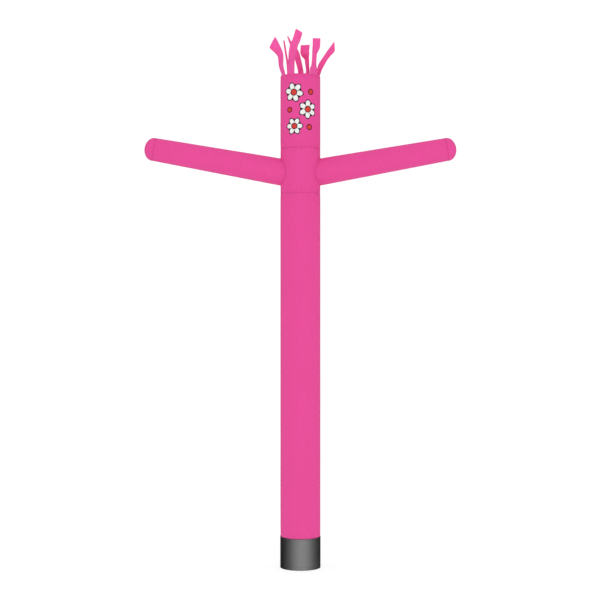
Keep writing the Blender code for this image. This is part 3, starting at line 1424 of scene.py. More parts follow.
    def end_point(self, turn: float, lift: float, proud: float = 0.0) -> Vector:
        """A point on the round end.

        Args:
            turn: The turn round the arm.
            lift: How far up the round end, from 0 at its seam to a quarter turn at its tip.
            proud: How far proud of the cloth.

        Returns:
            The point.
        """
        each = math.tau / self.darts
        width = abs(math.remainder(turn - each / 2, each)) * self.end_radius * math.cos(lift)
        dart = self.dart_depth * crease(width, self.dart_width) * (1 - smooth_step(lift, *self.dart_ends))
        around, up = self.tip_ripple
        puckers = self.end_pucker * fade(lift * self.end_depth, self.end_reach / 2)
        inset = dart + puckers * ripple(on_circle(turn, around, up * lift)) * math.cos(lift)
        radius = (self.end_radius - inset + proud) * math.cos(lift)
        return self.spot(turn, self.length + (self.end_depth - inset + proud) * math.sin(lift), radius)


@dataclass
class Arm:
    """One arm: the tapered sleeve sewn to the tube, and the round end that closes it."""

    form: ArmForm
    name: str  # of its pieces, and of the sleeve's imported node
    end_node: str
    columns: int = 120
    rows: int = 130
    crowd: float = 0.4
    root_places: tuple[float, ...] = (0.0, 0.0015, 0.003, 0.0045, 0.006, 0.009, 0.013, 0.018)
    root_edge: Pair = (0.004, 0.009)  # from where to where the root's double cloth runs out
    brim: float = 0.009  # how far the round end lies over the sleeve's end
    brim_edge: float = 0.006  # over what length its double cloth runs out
    tuck: float = 0.010  # how far the sleeve runs on under the round end
    step_down: float = 0.004  # how far before the brim it starts to
    over: float = 0.0006  # of the round end, from the sleeve
    end_rows: int = 22
    root_row: float = 0.0075  # of stitches, from the sleeve's root
    under_rows: Pair = (0.004, 0.009)  # from the edge of the lap
    under_row_ends: Pair = (0.01, 0.012)  # from the root, and from the sleeve's end
    under_row_steps: int = 90
    brim_rows: tuple[Pair, Pair] = ((0.006, 0.0004), (0.0015, 0.0008))  # from the end, and how far proud
    roll: Roll = field(init=False)
    across: list[float] = field(init=False)
    roots: dict[float, float] = field(init=False)
    length: float = field(init=False)
    arc: float = field(init=False)

    def __post_init__(self) -> None:
        """Works out the sleeve's roll, its root's places and its length, and the round end's arc."""
        form = self.form
        self.roll = Roll(form.root_radius, lap=0.012)
        self.across = spread(0.0, self.roll.width, self.columns)
        self.roots = {across: form.root(across / form.root_radius) for across in self.across}
        self.length = form.length - form.root(0.0) + self.tuck
        self.arc = math.pi / 4 * (form.end_radius + form.end_depth)

    def build(self, finishes: Wardrobe) -> list[bpy.types.Object]:
        """Makes the sleeve and the round end."""
        return [self._sleeve(finishes), self._round_end(finishes)]

    def _sleeve(self, finishes: Wardrobe) -> bpy.types.Object:
        """Rolls the sleeve, with its seam under the arm and its root cut to the tube's wall.

        Args:
            finishes: The finishes.

        Returns:
            The sleeve.
        """
        form, length = self.form, self.length
        brim = length - self.brim - self.tuck  # where the brim starts
        level = spread(self.root_places[-1], brim - self.step_down, self.rows, self.crowd)
        along = joined(self.root_places, level, [level[-1], brim - self.step_down / 2, brim])
        along += [length - self.tuck, length]
        bm = grid_sheet(self.across, along, self._place, self._mark)
        made = wear(cloth_object(f"{self.name}_sleeve", bm), finishes.nylon, Slot.NYLON, self.name)
        self._stitches(finishes.pink_thread)
        return made

    def _run(self, across: float, along: float) -> float:
        """How far along the arm a point of the sleeve's cut lies."""
        return self.roots[across] + (self.form.length + self.tuck - self.roots[across]) * along / self.length

    def _place(self, across: float, along: float) -> Vector:
        """Where a point of the sleeve's cut lies.

        Args:
            across: The distance across the cut.
            along: The distance along it.

        Returns:
            The point.
        """
        run = self._run(across, along)
        edge = self.form.length - self.brim
        under = self.roll.drop * smooth_step(run, edge - self.step_down, edge) + self.roll.under(across)
        return self.form.point(across / self.form.root_radius, run, -under, self.roots[across])

    def _mark(self, across: float, along: float) -> Marks:
        """What the lap and the seams do to the sleeve's cloth.

        Args:
            across: The distance across the cut.
            along: The distance along it.

        Returns:
            The marks there.
        """
        run = self._run(across, along)
        gathers = self.form.gathers(across / self.form.root_radius, run, run - self.roots[across])
        return Marks(max(self.roll.lapped(across), 1 - smooth_step(along, *self.root_edge)), *gathers)

    def _round_end(self, finishes: Wardrobe) -> bpy.types.Object:
        """Shapes the round end over the sleeve's far edge.

        Args:
            finishes: The finishes.

        Returns:
            The round end.
        """
        reach = self.brim + self.arc
        along = joined([0.0, self.brim / 2, self.brim], spread(self.brim, reach, self.end_rows))
        bm = grid_sheet(
            spread(0.0, math.tau, self.columns), along, self._end_place,
            lambda turn, along: Marks(1 - smooth_step(along, self.brim, self.brim + self.brim_edge)),
            lambda turn, along: ((reach - along) * math.cos(turn), (reach - along) * math.sin(turn)),
            welded=True,
        )
        made = wear(cloth_object(f"{self.name}_round_end", bm), finishes.nylon, Slot.NYLON, self.end_node)
        lines = [self._ring(self.form.length - back, proud) for back, proud in self.brim_rows]
        finishes.pink_thread.rows(f"{self.name}_end", lines, True)
        return made

    def _end_place(self, turn: float, along: float) -> Vector:
        """Where a point of the round end's cut lies: first the brim over the sleeve, then up to the tip.

        Args:
            turn: The turn round the arm.
            along: The distance from the cut's edge.

        Returns:
            The point.
        """
        if along < self.brim:
            run = self.form.length - self.brim + along
            return self.form.point(turn, run, self.over * smooth_step(along, 0.0, self.brim))
        return self.form.end_point(turn, math.pi / 2 * (along - self.brim) / self.arc, self.over)

    def _ring(self, run: float | None, proud: float = 0.0) -> list[Vector]:
        """A line round the arm.

        Args:
            run: How far along the arm it lies, or None for just off the root.
            proud: How far proud of the cloth.

        Returns:
            Its points.
        """
        line = []
        for turn in spread(0.0, math.tau, self.columns)[:-1]:
            at = self.form.root(turn) + self.root_row if run is None else run
            line.append(self.form.point(turn, at, proud))
        return line

    def _stitches(self, thread: Stitching) -> list[bpy.types.Object]:
        """Sews the sleeve's root and the seam under the arm.

        Args:
            thread: What they are sewn with.

        Returns:
            The rows of stitches.
        """
        form = self.form
        after, before = self.under_row_ends
        lines = []
        for off in self.under_rows:
            turn = off / form.root_radius
            runs = spread(form.root(turn) + after, form.length - before, self.under_row_steps)
            lines.append([form.point(turn, run) for run in runs])
        root = thread.row(f"{self.name}_root_row", self._ring(None), True)
        return [root, *thread.rows(f"{self.name}_under", lines, False)]


@dataclass
class Cuff:
    """The black band round the foot, turned in along its lower hem."""

    roll: Roll = Roll(0.2309, lap=0.020, drop=0.0022)
    height: float = 0.356
    hem: Hem = Hem(depth=0.040, inset=0.0040, turn_steps=8, behind_steps=5)
    cloth: float = 0.0018
    columns: int = 192
    rows: int = 44
    crowd: float = 0.3
    drift: float = 0.0010
    drift_ripple: Pair = (1.6, 3.0)  # with its shift, as in TubeForm
    drift_shift: Triple = (4.0, 0.0, 0.0)
    pucker: float = 0.0011
    puckers: float = 6.5  # in a radian round it
    pucker_shift: Triple = (0.0, 2.0, 20.0)  # the last of them for each metre that a seam is up
    hem_reach: float = 0.025
    top_reach: float = 0.030
    level_below: float = 0.012  # from where down the cloth runs out level, to stand on
    back_draw: float = 0.0006
    back_width: float = 0.020
    gather_reach: float = 0.02
    gathers_below: float = 0.02  # the upper edge
    hem_edge: Pair = (0.038, 0.043)  # between which heights the hem's double cloth runs out
    join_edge: Pair = (0.326, 0.330)  # and where it starts again for the join to the tube
    ring_rows: tuple[float, ...] = (0.036, 0.330, 0.350)  # heights of the rows of stitches round it
    back_rows: Pair = (0.004, 0.015)  # from the edge of the lap
    back_row_ends: Pair = (0.008, 0.352)
    back_row_steps: int = 30
    node: str = "base_cuff"

    @property
    def turned(self) -> float:
        """Where the hem's turn ends along the cut, which starts at the hem's inner edge."""
        return self.hem.depth - self.hem.half + self.hem.fold

    def point(self, angle: float, height: float, proud: float = 0.0) -> Vector:
        """A point on the band's outer face, or so far proud of it.

        Args:
            angle: The angle round the tube.
            height: The height above the ground.
            proud: How far proud of the cloth.

        Returns:
            The point.
        """
        around, up = self.drift_ripple
        depth = self.drift * ripple(on_circle(angle, around, up * height) + Vector(self.drift_shift))
        right, back, up = self.pucker_shift
        for seam, reach in ((self.hem.depth, self.hem_reach), (self.height, self.top_reach)):
            puckers = ripple(on_circle(angle, self.puckers, up * seam) + Vector((right, back, 0.0)))
            depth += self.pucker * fade(height - seam, reach) * puckers
        depth *= smooth_step(height, 0.0, self.level_below)
        depth += self.back_draw * crease(arc_to(BACK, angle, self.roll.radius), self.back_width)
        return on_circle(angle, self.roll.radius - depth + proud, height)

    def build(self, finishes: Wardrobe) -> bpy.types.Object:
        """Rolls, hems and dresses the band.

        Args:
            finishes: The finishes.

        Returns:
            The band.
        """
        inner, turned = self.hem.depth - self.hem.half, self.turned
        length = turned + self.height - self.hem.half
        along = joined(
            spread(0.0, inner, self.hem.behind_steps),
            spread(inner, turned, self.hem.turn_steps),
            spread(turned, length, self.rows, self.crowd),
        )
        bm = grid_sheet(spread(0.0, self.roll.width, self.columns), along, self._place, self._mark)
        made = wear(cloth_object("cuff_band", bm, self.cloth), finishes.coated, Slot.COATED, self.node)
        self._stitches(finishes.black_thread)
        return made

    def _path(self, along: float) -> Pair:
        """The height and the inset of a row of the cut."""
        down, inset = self.hem.path(self.turned - along)
        return self.hem.half - down, inset

    def _place(self, across: float, along: float) -> Vector:
        """Where a point of the cut lies."""
        height, inset = self._path(along)
        return self.point(self.roll.angle(across), height, -inset - self.roll.under(across))

    def _mark(self, across: float, along: float) -> Marks:
        """What the lap, the hem and the join do to the cloth.

        Args:
            across: The distance across the cut.
            along: The distance along it.

        Returns:
            The marks there.
        """
        height = self._path(along)[0]
        doubled = max(
            self.roll.lapped(across),
            1 - smooth_step(height, *self.hem_edge),
            smooth_step(height, *self.join_edge),
        )
        lines = (self.hem.depth, self.height - self.gathers_below)
        return Marks(doubled, max(fade(height - line, self.gather_reach) for line in lines))

    def _stitches(self, thread: Stitching) -> list[bpy.types.Object]:
        """Sews the hem, the join to the tube and the lap at the back.

        Args:
            thread: What they are sewn with.

        Returns:
            The rows of stitches.
        """
        rings = [level_line(self.point, height, self.columns) for height in self.ring_rows]
        turns = [BACK + off / self.roll.radius for off in self.back_rows]
        back = [upright_line(self.point, turn, *self.back_row_ends, self.back_row_steps) for turn in turns]
        return thread.rows("cuff_ring", rings, True) + thread.rows("cuff_back", back, False)


class Fold(NamedTuple):
    """A line across a ribbon: its middle lies so far across, back and up from the rim.

    tilt is the line's slope in the front view and turn how far it swings out of that view, in degrees,
    with its right end going back where turn is positive.
    """

    across: float
    back: float
    up: float
    wide: float
    tilt: float
    turn: float

    def line(self) -> Vector:
        """The unit vector along it, towards its right end."""
        tilt, turn = math.radians(self.tilt), math.radians(self.turn)
        return Vector((math.cos(turn) * math.cos(tilt), math.sin(turn), math.cos(turn) * math.sin(tilt)))


@dataclass(frozen=True)
class Course:
    """The course that a ribbon takes through its folds, from the band up."""

    folds: list[Fold]
    rim: float
    step: float = 0.01  # along the folds, to find which way it heads
    measured: int = 8  # in how many steps each of its stretches is measured

    @property
    def spans(self) -> int:
        """How many stretches lie between its folds."""
        return len(self.folds) - 1

    @property
    def at_back(self) -> bool:
        """True where it leaves the back of the rim."""
        return self.folds[0].back >= 0

    def fold(self, along: float) -> Fold:
        """A fold at any place along it: straight up the band, then on a smooth curve.

        Args:
            along: The place, counted in folds from its root.

        Returns:
            The fold.
        """
        index = min(int(along), self.spans - 1)
        part = along - index
        start, end = self.folds[index], self.folds[index + 1]
        if index == 0:
            return Fold(*(a + part * (b - a) for a, b in zip(start, end)))
        before, after = self.folds[index - 1], self.folds[min(index + 2, self.spans)]
        values = []
        for a, b, c, d in zip(before, start, end, after):
            bend = 2 * a - 5 * b + 4 * c - d
            curl = 3 * (b - c) + d - a
            values.append(b + 0.5 * part * (c - a + part * (bend + part * curl)))
        return Fold(*values)

    def middle(self, along: float) -> Vector:
        """The point in its middle at a place along it."""
        fold = self.fold(along)
        return Vector((fold.across, fold.back, self.rim + fold.up))

    def face(self, along: float) -> Vector:
        """The unit vector out of its outer face.

        Args:
            along: The place along it.

        Returns:
            The vector.
        """
        path = self.middle(min(along + self.step, self.spans)) - self.middle(max(along - self.step, 0.0))
        outward = self.fold(along).line().cross(path).normalized()
        return -outward if self.at_back else outward

    def length(self) -> float:
        """Its length."""
        spots = [self.middle(step / self.measured) for step in range(self.measured * self.spans + 1)]
        return sum((b - a).length for a, b in zip(spots, spots[1:]))


@dataclass(frozen=True)
class Ribbon:
    """One ribbon of the fringe: where it leaves the band, and the folds that it passes through."""

    name: str
    at: float  # degrees round the rim
    root: float  # its width there
    cup: float  # how far it bows across its width at its free end
    folds: tuple[Fold, ...]
    flutter: float = 0.0022
    flutter_ripple: Pair = (2.2, 1.4)  # across it, and for each of its folds
    steps: int = 9
    edge: tuple[float, ...] = (0.0, 0.02, 0.05, 0.10, 0.18, 0.27, 0.36, 0.45)  # columns from either edge
    end: Pair = (0.04, 0.02)  # the last rows, from the free end
    fused: Pair = (0.03, 0.03)  # how much of the edge and of the end the hot cut fuses

    def across(self) -> list[float]:
        """Where the columns of its cut lie, from -0.5 to 0.5."""
        return [*(step - 0.5 for step in self.edge), 0.0, *(0.5 - step for step in reversed(self.edge))]

    def along(self, spans: int) -> list[float]:
        """Where the rows of its cut lie, counted in folds."""
        return spread(0.0, spans - self.end[0], spans * self.steps) + [spans - self.end[1], float(spans)]


@dataclass
class Fringe:
    """The hair: a band of nylon slit into ribbons, its uncut edge sewn inside the top hem."""

    form: TubeForm
    inset: float = 0.0034  # of the band's outer face, from the tube's, with the hem between them
    band_cloth: float = 0.0024
    depth: float = 0.030
    stand: float = 0.004  # of its upper edge, over the rim
    columns: int = 128
    rows: int = 6
    fused: float = 0.004  # how much of that edge the hot cut fuses
    set_free: float = 1.6  # which part of a ribbon's folds leaves the rim's curve, counted from its root
    node: str = "hair_fringe"

    ribbons: tuple[Ribbon, ...] = (
        Ribbon(
            "left_flare", 208, 0.090, 0.012,
            (
                Fold(-0.224, -0.110, 0.110, 0.120, -13, -63),
                Fold(-0.229, -0.115, 0.195, 0.120, -8, -58),
                Fold(-0.239, -0.120, 0.237, 0.120, 8, -54),
                Fold(-0.278, -0.130, 0.303, 0.116, 36, -34),
                Fold(-0.322, -0.130, 0.373, 0.140, 62, -8),
            ),
        ),
        Ribbon(
            "left_slip", 127, 0.050, 0.006,
            (
                Fold(-0.138, 0.175, 0.090, 0.060, 0, 52),
                Fold(-0.152, 0.168, 0.189, 0.065, 10, 67),
                Fold(-0.175, 0.160, 0.315, 0.065, 10, 70),
                Fold(-0.195, 0.150, 0.450, 0.065, -8, 76),
            ),
        ),
        Ribbon(
            "back_lean", 90, 0.070, 0.006,
            (
                Fold(0.003, 0.216, 0.097, 0.070, 0, 24),
                Fold(-0.026, 0.200, 0.225, 0.074, 0, 12),
                Fold(-0.058, 0.180, 0.327, 0.074, 18, 20),
                Fold(-0.108, 0.160, 0.401, 0.072, 27, 56),
                Fold(-0.153, 0.150, 0.495, 0.070, 24, 76),
            ),
        ),
        Ribbon(
            "front_tall", 241, 0.090, 0.010,
            (
                Fold(-0.109, -0.192, 0.079, 0.090, -4, -24),
                Fold(-0.103, -0.184, 0.168, 0.090, 0, -33),
                Fold(-0.086, -0.174, 0.269, 0.090, -4, -8),
                Fold(-0.070, -0.167, 0.337, 0.090, -6, 0),
                Fold(-0.043, -0.160, 0.398, 0.088, -14, 6),
                Fold(-0.012, -0.150, 0.500, 0.088, -31, 8),
            ),
        ),
        Ribbon(
            "back_short", 68, 0.060, 0.010,
            (
                Fold(0.088, 0.202, 0.099, 0.090, 0, -62),
                Fold(0.081, 0.190, 0.201, 0.100, 2, -62),
                Fold(0.076, 0.180, 0.255, 0.100, 18, -54),
                Fold(0.052, 0.172, 0.305, 0.102, 10, -8),
                Fold(0.052, 0.170, 0.348, 0.105, 5, 0),
                Fold(0.056, 0.170, 0.398, 0.103, 4, 4),
            ),
        ),
        Ribbon(
            "front_flat", 313.5, 0.110, 0.008,
            (
                Fold(0.154, -0.161, 0.061, 0.100, -4, 30),
                Fold(0.159, -0.156, 0.110, 0.094, 0, 52),
                Fold(0.165, -0.151, 0.227, 0.092, 5, 54),
                Fold(0.174, -0.150, 0.278, 0.090, -5, 38),
                Fold(0.182, -0.150, 0.321, 0.089, -5, 15),
                Fold(0.184, -0.150, 0.413, 0.088, 0, 8),
            ),
        ),
        Ribbon(
            "right_lean", 22, 0.085, 0.012,
            (
                Fold(0.222, 0.085, 0.089, 0.090, -33, -52),
                Fold(0.243, 0.080, 0.145, 0.090, -36, -40),
                Fold(0.305, 0.070, 0.241, 0.092, -44, -44),
                Fold(0.370, 0.060, 0.323, 0.096, -70, -22),
                Fold(0.394, 0.060, 0.365, 0.107, -86, -6),
            ),
        ),
    )

    @property
    def outer(self) -> float:
        """The radius of the band's outer face."""
        return self.form.radius - self.inset

    def build(self, finishes: Wardrobe) -> list[bpy.types.Object]:
        """Makes the band and its ribbons."""
        return [self._band(finishes)] + [self._ribbon(ribbon, finishes) for ribbon in self.ribbons]

    def on_band(self, angle: float, up: float, deep: float = 0.0) -> Vector:
        """A point on the band's outer face or so deep in it, at a height over the rim."""
        return self.form.point(angle, self.form.rim + up, -self.inset - deep)

    def course(self, ribbon: Ribbon) -> Course:
        """Sets out a ribbon's course, which starts in the band.

        Args:
            ribbon: The ribbon.

        Returns:
            Its course.
        """
        angle, turn = math.radians(ribbon.at), ribbon.at % 180 - 90
        folds = []
        for up in (self.stand - self.depth / 2, self.stand):
            spot = self.on_band(angle, up, self.band_cloth / 2)
            folds.append(Fold(spot.x, spot.y, up, ribbon.root, 0, turn))
        return Course(folds + list(ribbon.folds), self.form.rim)

    def _band(self, finishes: Wardrobe) -> bpy.types.Object:
        """Makes the uncut edge, folded double and snug inside the hem.

        Args:
            finishes: The finishes.

        Returns:
            The band.
        """
        width = math.tau * self.outer
        bm = grid_sheet(
            spread(0.0, width, self.columns), spread(0.0, self.depth, self.rows),
            lambda across, along: self.on_band(BACK + across / self.outer, self.stand - self.depth + along),
            lambda across, along: Marks(1 - smooth_step(self.depth - along, 0.0, self.fused)),
            welded=True,
        )
        made = wear(cloth_object("fringe_band", bm, self.band_cloth), finishes.nylon, Slot.NYLON, self.node)
        return made

    def _ribbon(self, ribbon: Ribbon, finishes: Wardrobe) -> bpy.types.Object:
        """Cuts one ribbon, which the air carries up along its course.

        Args:
            ribbon: The ribbon.
            finishes: The finishes.

        Returns:
            The ribbon's piece.
        """
        course = self.course(ribbon)
        spans, length = course.spans, course.length()
        wide = max(fold.wide for fold in course.folds)

        def mark(side: float, run: float) -> Marks:
            """The fused edge that a hot cut leaves."""
            edge, end = ribbon.fused
            return Marks(1.0 if abs(side) > 0.5 - edge or run > spans - end else 0.0)

        bm = grid_sheet(
            ribbon.across(), ribbon.along(spans),
            lambda side, run: self._on_ribbon(ribbon, course, side, run),
            mark,
            lambda side, run: (side * wide, run / spans * length),
        )
        if course.at_back:
            bmesh.ops.reverse_faces(bm, faces=bm.faces[:])
        made = cloth_object(f"ribbon_{ribbon.name}", bm, offset=0.0)
        # The ribbons wear the sheer nylon whose pink is painted lighter against their shade.
        wear(made, finishes.single_nylon_painted_lighter, Slot.NYLON, self.node)
        return made

    def _on_ribbon(self, ribbon: Ribbon, course: Course, side: float, run: float) -> Vector:
        """Where a point of a ribbon lies.

        Args:
            ribbon: The ribbon.
            course: Its course.
            side: How far across it, from -0.5 to 0.5.
            run: How far along its course, counted in folds from its root.

        Returns:
            The point.
        """
        fold = course.fold(run)
        free = max(run - 1, 0.0) / (course.spans - 1)
        bow = ribbon.root**2 / (8 * self.outer)
        bow += (ribbon.cup - bow) * free
        across, along = ribbon.flutter_ripple
        wave = noise.noise(Vector((ribbon.at, across * side, along * run))) * ribbon.flutter * free
        spot = course.middle(run) + fold.line() * side * fold.wide
        spot -= course.face(run) * (bow * (2 * side) ** 2 - wave)
        fused = self.on_band(math.atan2(spot.y, spot.x), spot.z - self.form.rim, self.band_cloth / 2)
        return spot.lerp(fused, 1 - smooth_step(run, 1.0, self.set_free))


@dataclass(frozen=True)
class Print:
    """One flat shape of ink on the head, given by how far its edge lies from its middle at each turn."""

    name: str
    slot: Slot
    layer: int
    middle: Pair  # across the cloth from the front line, and height
    edge: Callable[[float], float]
    turns: Sequence[float] = tuple(spread(0.0, math.tau, 48))  # of its mesh
    rows: int = 5


@dataclass(frozen=True)
class Flower:
    """One printed flower: white petals with a black outline, round a red middle."""

    name: str
    across: float  # the cloth, from the front line
    height: float
    radius: float
    turn: float = 0.0
    petals: int = 6
    outline: float = 0.012
    bluntness: float = 0.40  # below 1 makes the petals' tips broad
    notch: float = 0.76  # how far out the outline follows the gaps between petals
    middle: float = 0.30  # the red middle's share of the radius
    under: float = 0.9  # how far in the petals reach, as a share of the middle
    ring: float = 0.009
    columns: int = 32  # of each petal
    crowd: float = 0.75
    rows: int = 10

    def shapes(self) -> list[Print]:
        """Draws the flower.

        Returns:
            Its shapes, from the lowest layer up.
        """
        name, place, turns = self.name, (self.across, self.height), self._turns()
        core = self.middle * self.radius
        return [
            Print(f"{name}_outline", Slot.BLACK_INK, 1, place, self._outer, turns, self.rows),
            Print(f"{name}_petals", Slot.WHITE_INK, 2, place, self._petal, turns, self.rows),
            Print(f"{name}_ring", Slot.BLACK_INK, 3, place, lambda turn: core + self.ring),
            Print(f"{name}_middle", Slot.RED_INK, 4, place, lambda turn: core),
        ]

    def _turns(self) -> list[float]:
        """The turns of the mesh's columns, which crowd to the gaps between petals."""
        starts = spread(self.turn, self.turn + math.tau, self.petals)
        return joined(*(spread(a, b, self.columns, self.crowd) for a, b in zip(starts, starts[1:])))

    def _petal(self, turn: float) -> float:
        """How far out the petals reach at one turn, and in to under the middle."""
        reach = abs(math.sin(self.petals * (turn - self.turn) / 2)) ** self.bluntness
        return self.radius * max(reach, self.under * self.middle)

    def _outer(self, turn: float) -> float:
        """How far out the outline reaches at one turn."""
        return self.outline + max(self.radius * self.notch, self._petal(turn))


@dataclass(frozen=True)
class Spot:
    """One printed spot, red with a black outline."""

    name: str
    across: float
    height: float
    radius: float
    outline: float = 0.009

    def shapes(self) -> list[Print]:
        """The spot's shapes, from the lowest layer up."""
        place = (self.across, self.height)
        return [
            Print(f"{self.name}_outline", Slot.BLACK_INK, 1, place, lambda turn: self.radius + self.outline),
            Print(f"{self.name}_middle", Slot.RED_INK, 2, place, lambda turn: self.radius),
        ]


@dataclass
class Posy:
    """The print on the front of the head: three flowers, one below the other, with spots between."""

    form: TubeForm
    step: float = 0.0004  # of ink, from one layer to the next
    film: float = 0.0002
    motifs: tuple[Flower | Spot, ...] = (
        Flower("flower_high", -0.076, 5.392, 0.104, 0.20),
        Flower("flower_mid", 0.086, 5.200, 0.100, 0.55),
        Flower("flower_low", -0.070, 5.010, 0.092, 0.0),
        Spot("spot_high", 0.122, 5.398, 0.026),
        Spot("spot_mid", -0.128, 5.196, 0.024),
        Spot("spot_low", 0.104, 5.000, 0.026),
    )

    def build(self, finishes: Wardrobe) -> list[bpy.types.Object]:
        """Prints every shape, and returns the films of ink."""
        return [self._film(shape, finishes) for motif in self.motifs for shape in motif.shapes()]

    def _film(self, shape: Print, finishes: Wardrobe) -> bpy.types.Object:
        """Lays one shape on the cloth as a thin film of ink.

        Args:
            shape: The shape.
            finishes: The finishes.

        Returns:
            The film.
        """
        form = self.form

        def spot(turn: float, part: float) -> Pair:
            """Where a point of the shape lies: across the cloth from the front line, and its height."""
            away = shape.edge(turn) * part
            return shape.middle[0] + away * math.sin(turn), shape.middle[1] + away * math.cos(turn)

        def place(turn: float, part: float) -> Vector:
            """Where one point of the shape lies on the tube."""
            across, height = spot(turn, part)
            return form.point(FRONT + across / form.radius, height, self.step * shape.layer)

        def lay_out(turn: float, part: float) -> Pair:
            """The same point on the head panel's cut."""
            across, height = spot(turn, part)
            return math.pi * form.radius + across, height - form.neck_seam

        parts = spread(0.0, 1.0, shape.rows)
        bm = grid_sheet(shape.turns, parts, place, lambda turn, part: Marks(), lay_out, welded=True)
        made = cloth_object(f"print_{shape.name}", bm, self.film)
        return wear(made, finishes.inks[shape.slot], shape.slot)


# ---- Studio ------------------------------------------------------------------


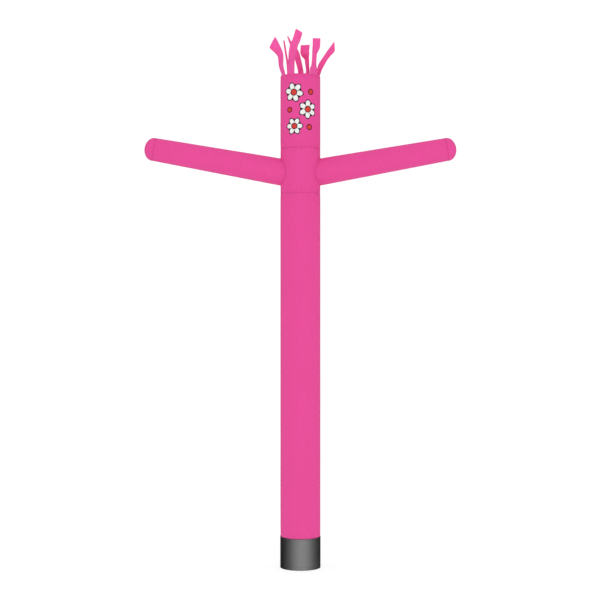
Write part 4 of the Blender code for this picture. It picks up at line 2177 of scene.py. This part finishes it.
@dataclass
class Studio:
    """A plain pale floor in even light, and the camera."""

    camera_height: float = 3.050
    camera_away: float = 15.0
    camera_across: float = -0.0045
    camera_sees: float = 200.0
    frame_width: float = 6.858  # what the picture spans at the object
    sensor: float = 36.0  # in millimetres
    floor_size: float = 40.0
    floor_below: float = 0.0005
    floor_faces: int = 4  # along each side
    floor_rough: float = 0.9
    floor_grey: float = 0.22
    floor_glow: float = 0.82
    dome: float = 0.960
    backdrop: float = 1.05
    key_place: Triple = (1.6, -6.0, 5.2)
    key_aim: Triple = (0.0, 0.0, 3.0)
    key_spread: float = math.radians(25)
    key_strength: float = 0.10
    shine: float = 1.68
    shine_turn: float = math.radians(8)  # how far right of the front it is brightest
    shine_fall: float = 3.8
    shine_low: Pair = (-0.06, 0.10)  # from where to where it fades upwards
    shine_above: float = 0.30
    shine_behind: float = 0.80
    behind_edge: Pair = (0.95, 0.995)  # of the panel behind, from where it starts to where it is full
    overhead: float = 1.0001  # a little over 1, so that straight up isn't divided by 0

    def build(self) -> None:
        """Makes the camera, the floor and the lights."""
        self._camera()
        self._floor()
        self._world()
        self._key()
        bpy.context.scene.view_settings.view_transform = "Standard"

    def _camera(self) -> None:
        """The camera, level and straight in front."""
        data = bpy.data.cameras.new("camera")
        data.sensor_width = self.sensor
        data.lens = data.sensor_width * self.camera_away / self.frame_width
        data.clip_end = self.camera_sees
        made = bpy.data.objects.new("camera", data)
        made.location = (self.camera_across, -self.camera_away, self.camera_height)
        made.rotation_euler = (math.pi / 2, 0.0, 0.0)
        bpy.context.scene.collection.objects.link(made)
        bpy.context.scene.camera = made

    def _floor(self) -> None:
        """The floor, pale and lit from within a little so that it meets the backdrop unseen."""
        bm = bmesh.new()
        faces = self.floor_faces
        bmesh.ops.create_grid(bm, x_segments=faces, y_segments=faces, size=self.floor_size)
        made = new_object("floor", bm, smooth=False)
        made.location = (0.0, 0.0, -self.floor_below)
        plain = {
            "Base Color": (self.floor_grey, self.floor_grey, self.floor_grey, 1.0),
            "Roughness": self.floor_rough,
            "Specular IOR Level": 0.0,
            "Emission Color": (1.0, 1.0, 1.0, 1.0),
            "Emission Strength": self.floor_glow,
        }
        made.data.materials.append(new_material("floor_paper", plain)[0])
        made.visible_diffuse = False
        made.visible_glossy = False
        made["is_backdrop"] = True

    def _world(self) -> None:
        """Even light from all round, a white backdrop, and the shine on smooth cloth."""
        world = bpy.data.worlds.new("studio")
        world.use_nodes = True
        bpy.context.scene.world = world
        world.node_tree.nodes.clear()
        shader = Shader(world.node_tree)
        rays = shader.node("LightPath")
        strength = shader.fit(rays["Is Camera Ray"], 0.0, 1.0, self.dome, self.backdrop)
        strength = shader.fit(rays["Is Glossy Ray"], 0.0, 1.0, strength, self._shine(shader))
        light = shader.node("Background", {"Color": (1.0, 1.0, 1.0, 1.0), "Strength": strength})[0]
        shader.node("OutputWorld", {"Surface": light})
        world.cycles.sampling_method = "NONE"

    def _shine(self, shader: Shader) -> Output:
        """Draws what shiny cloth reflects: a broad panel low in front, and a narrow one low behind.

        Args:
            shader: The world.

        Returns:
            How bright it is in each direction.
        """
        right, back, up = shader.axes(shader.node("TexCoord")["Generated"])
        square = shader.math("MULTIPLY", up, up)
        level = shader.math("SQRT", shader.math("SUBTRACT", self.overhead, square))
        aside = shader.math("MULTIPLY", right, math.sin(self.shine_turn))
        ahead = shader.math("MULTIPLY_ADD", back, -math.cos(self.shine_turn), aside)
        facing = shader.math("MULTIPLY_ADD", shader.math("DIVIDE", ahead, level), 0.5, 0.5)
        front = shader.math("POWER", shader.math("MAXIMUM", facing, 0.0), self.shine_fall)
        behind = shader.fit(shader.math("DIVIDE", back, level), *self.behind_edge, 0.0, self.shine_behind)
        low = shader.fit(up, *self.shine_low, 1.0, self.shine_above)
        total = shader.math("MULTIPLY", shader.math("ADD", front, behind), low)
        return shader.math("MULTIPLY", total, self.shine)

    def _key(self) -> None:
        """A broad, distant key light from the front, a little to the right and above."""
        data = bpy.data.lights.new("key", "SUN")
        data.energy = self.key_strength
        data.angle = self.key_spread
        made = bpy.data.objects.new("key", data)
        made.location = self.key_place
        away = Vector(self.key_aim) - Vector(self.key_place)
        made.rotation_euler = away.to_track_quat("-Z", "Y").to_euler()
        made.visible_camera = False
        made.visible_glossy = False
        bpy.context.scene.collection.objects.link(made)


def write_sizes() -> None:
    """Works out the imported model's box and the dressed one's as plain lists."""
    boxes = {"cad": CAD_BOX, "visual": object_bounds()}
    plain = {name: [[float(x) for x in corner] for corner in box] for name, box in boxes.items()}


def main() -> None:
    """Builds the object piece by piece, then the studio."""
    logging.basicConfig(level=logging.INFO, format="%(message)s")
    finishes = Wardrobe()
    tube = TubeForm()
    TubePanel(tube, "body_panel", "tube_body", tube.foot, tube.shoulder_seam, rows=200).build(finishes)
    TubePanel(
        tube, "shoulder_panel", "tube_shoulders", tube.shoulder_seam, tube.neck_seam,
        rows=56, crowd=0.2, holes=True,
    ).build(finishes)
    prints = Posy(tube).build(finishes)
    TubePanel(
        tube, "head_panel", "tube_head", tube.neck_seam, tube.rim,
        rows=84, crowd=0.3, hem=Hem(depth=0.030, inset=0.0030, turn_steps=6, behind_steps=5),
    ).build(finishes, prints)
    for side, label in ((1, "right"), (-1, "left")):
        Arm(ArmForm(side, tube), f"arm_{label}", f"arm_end_{label}").build(finishes)
    Cuff().build(finishes)
    Fringe(tube).build(finishes)
    Studio().build()
    write_sizes()


if __name__ == "__main__":
    main()
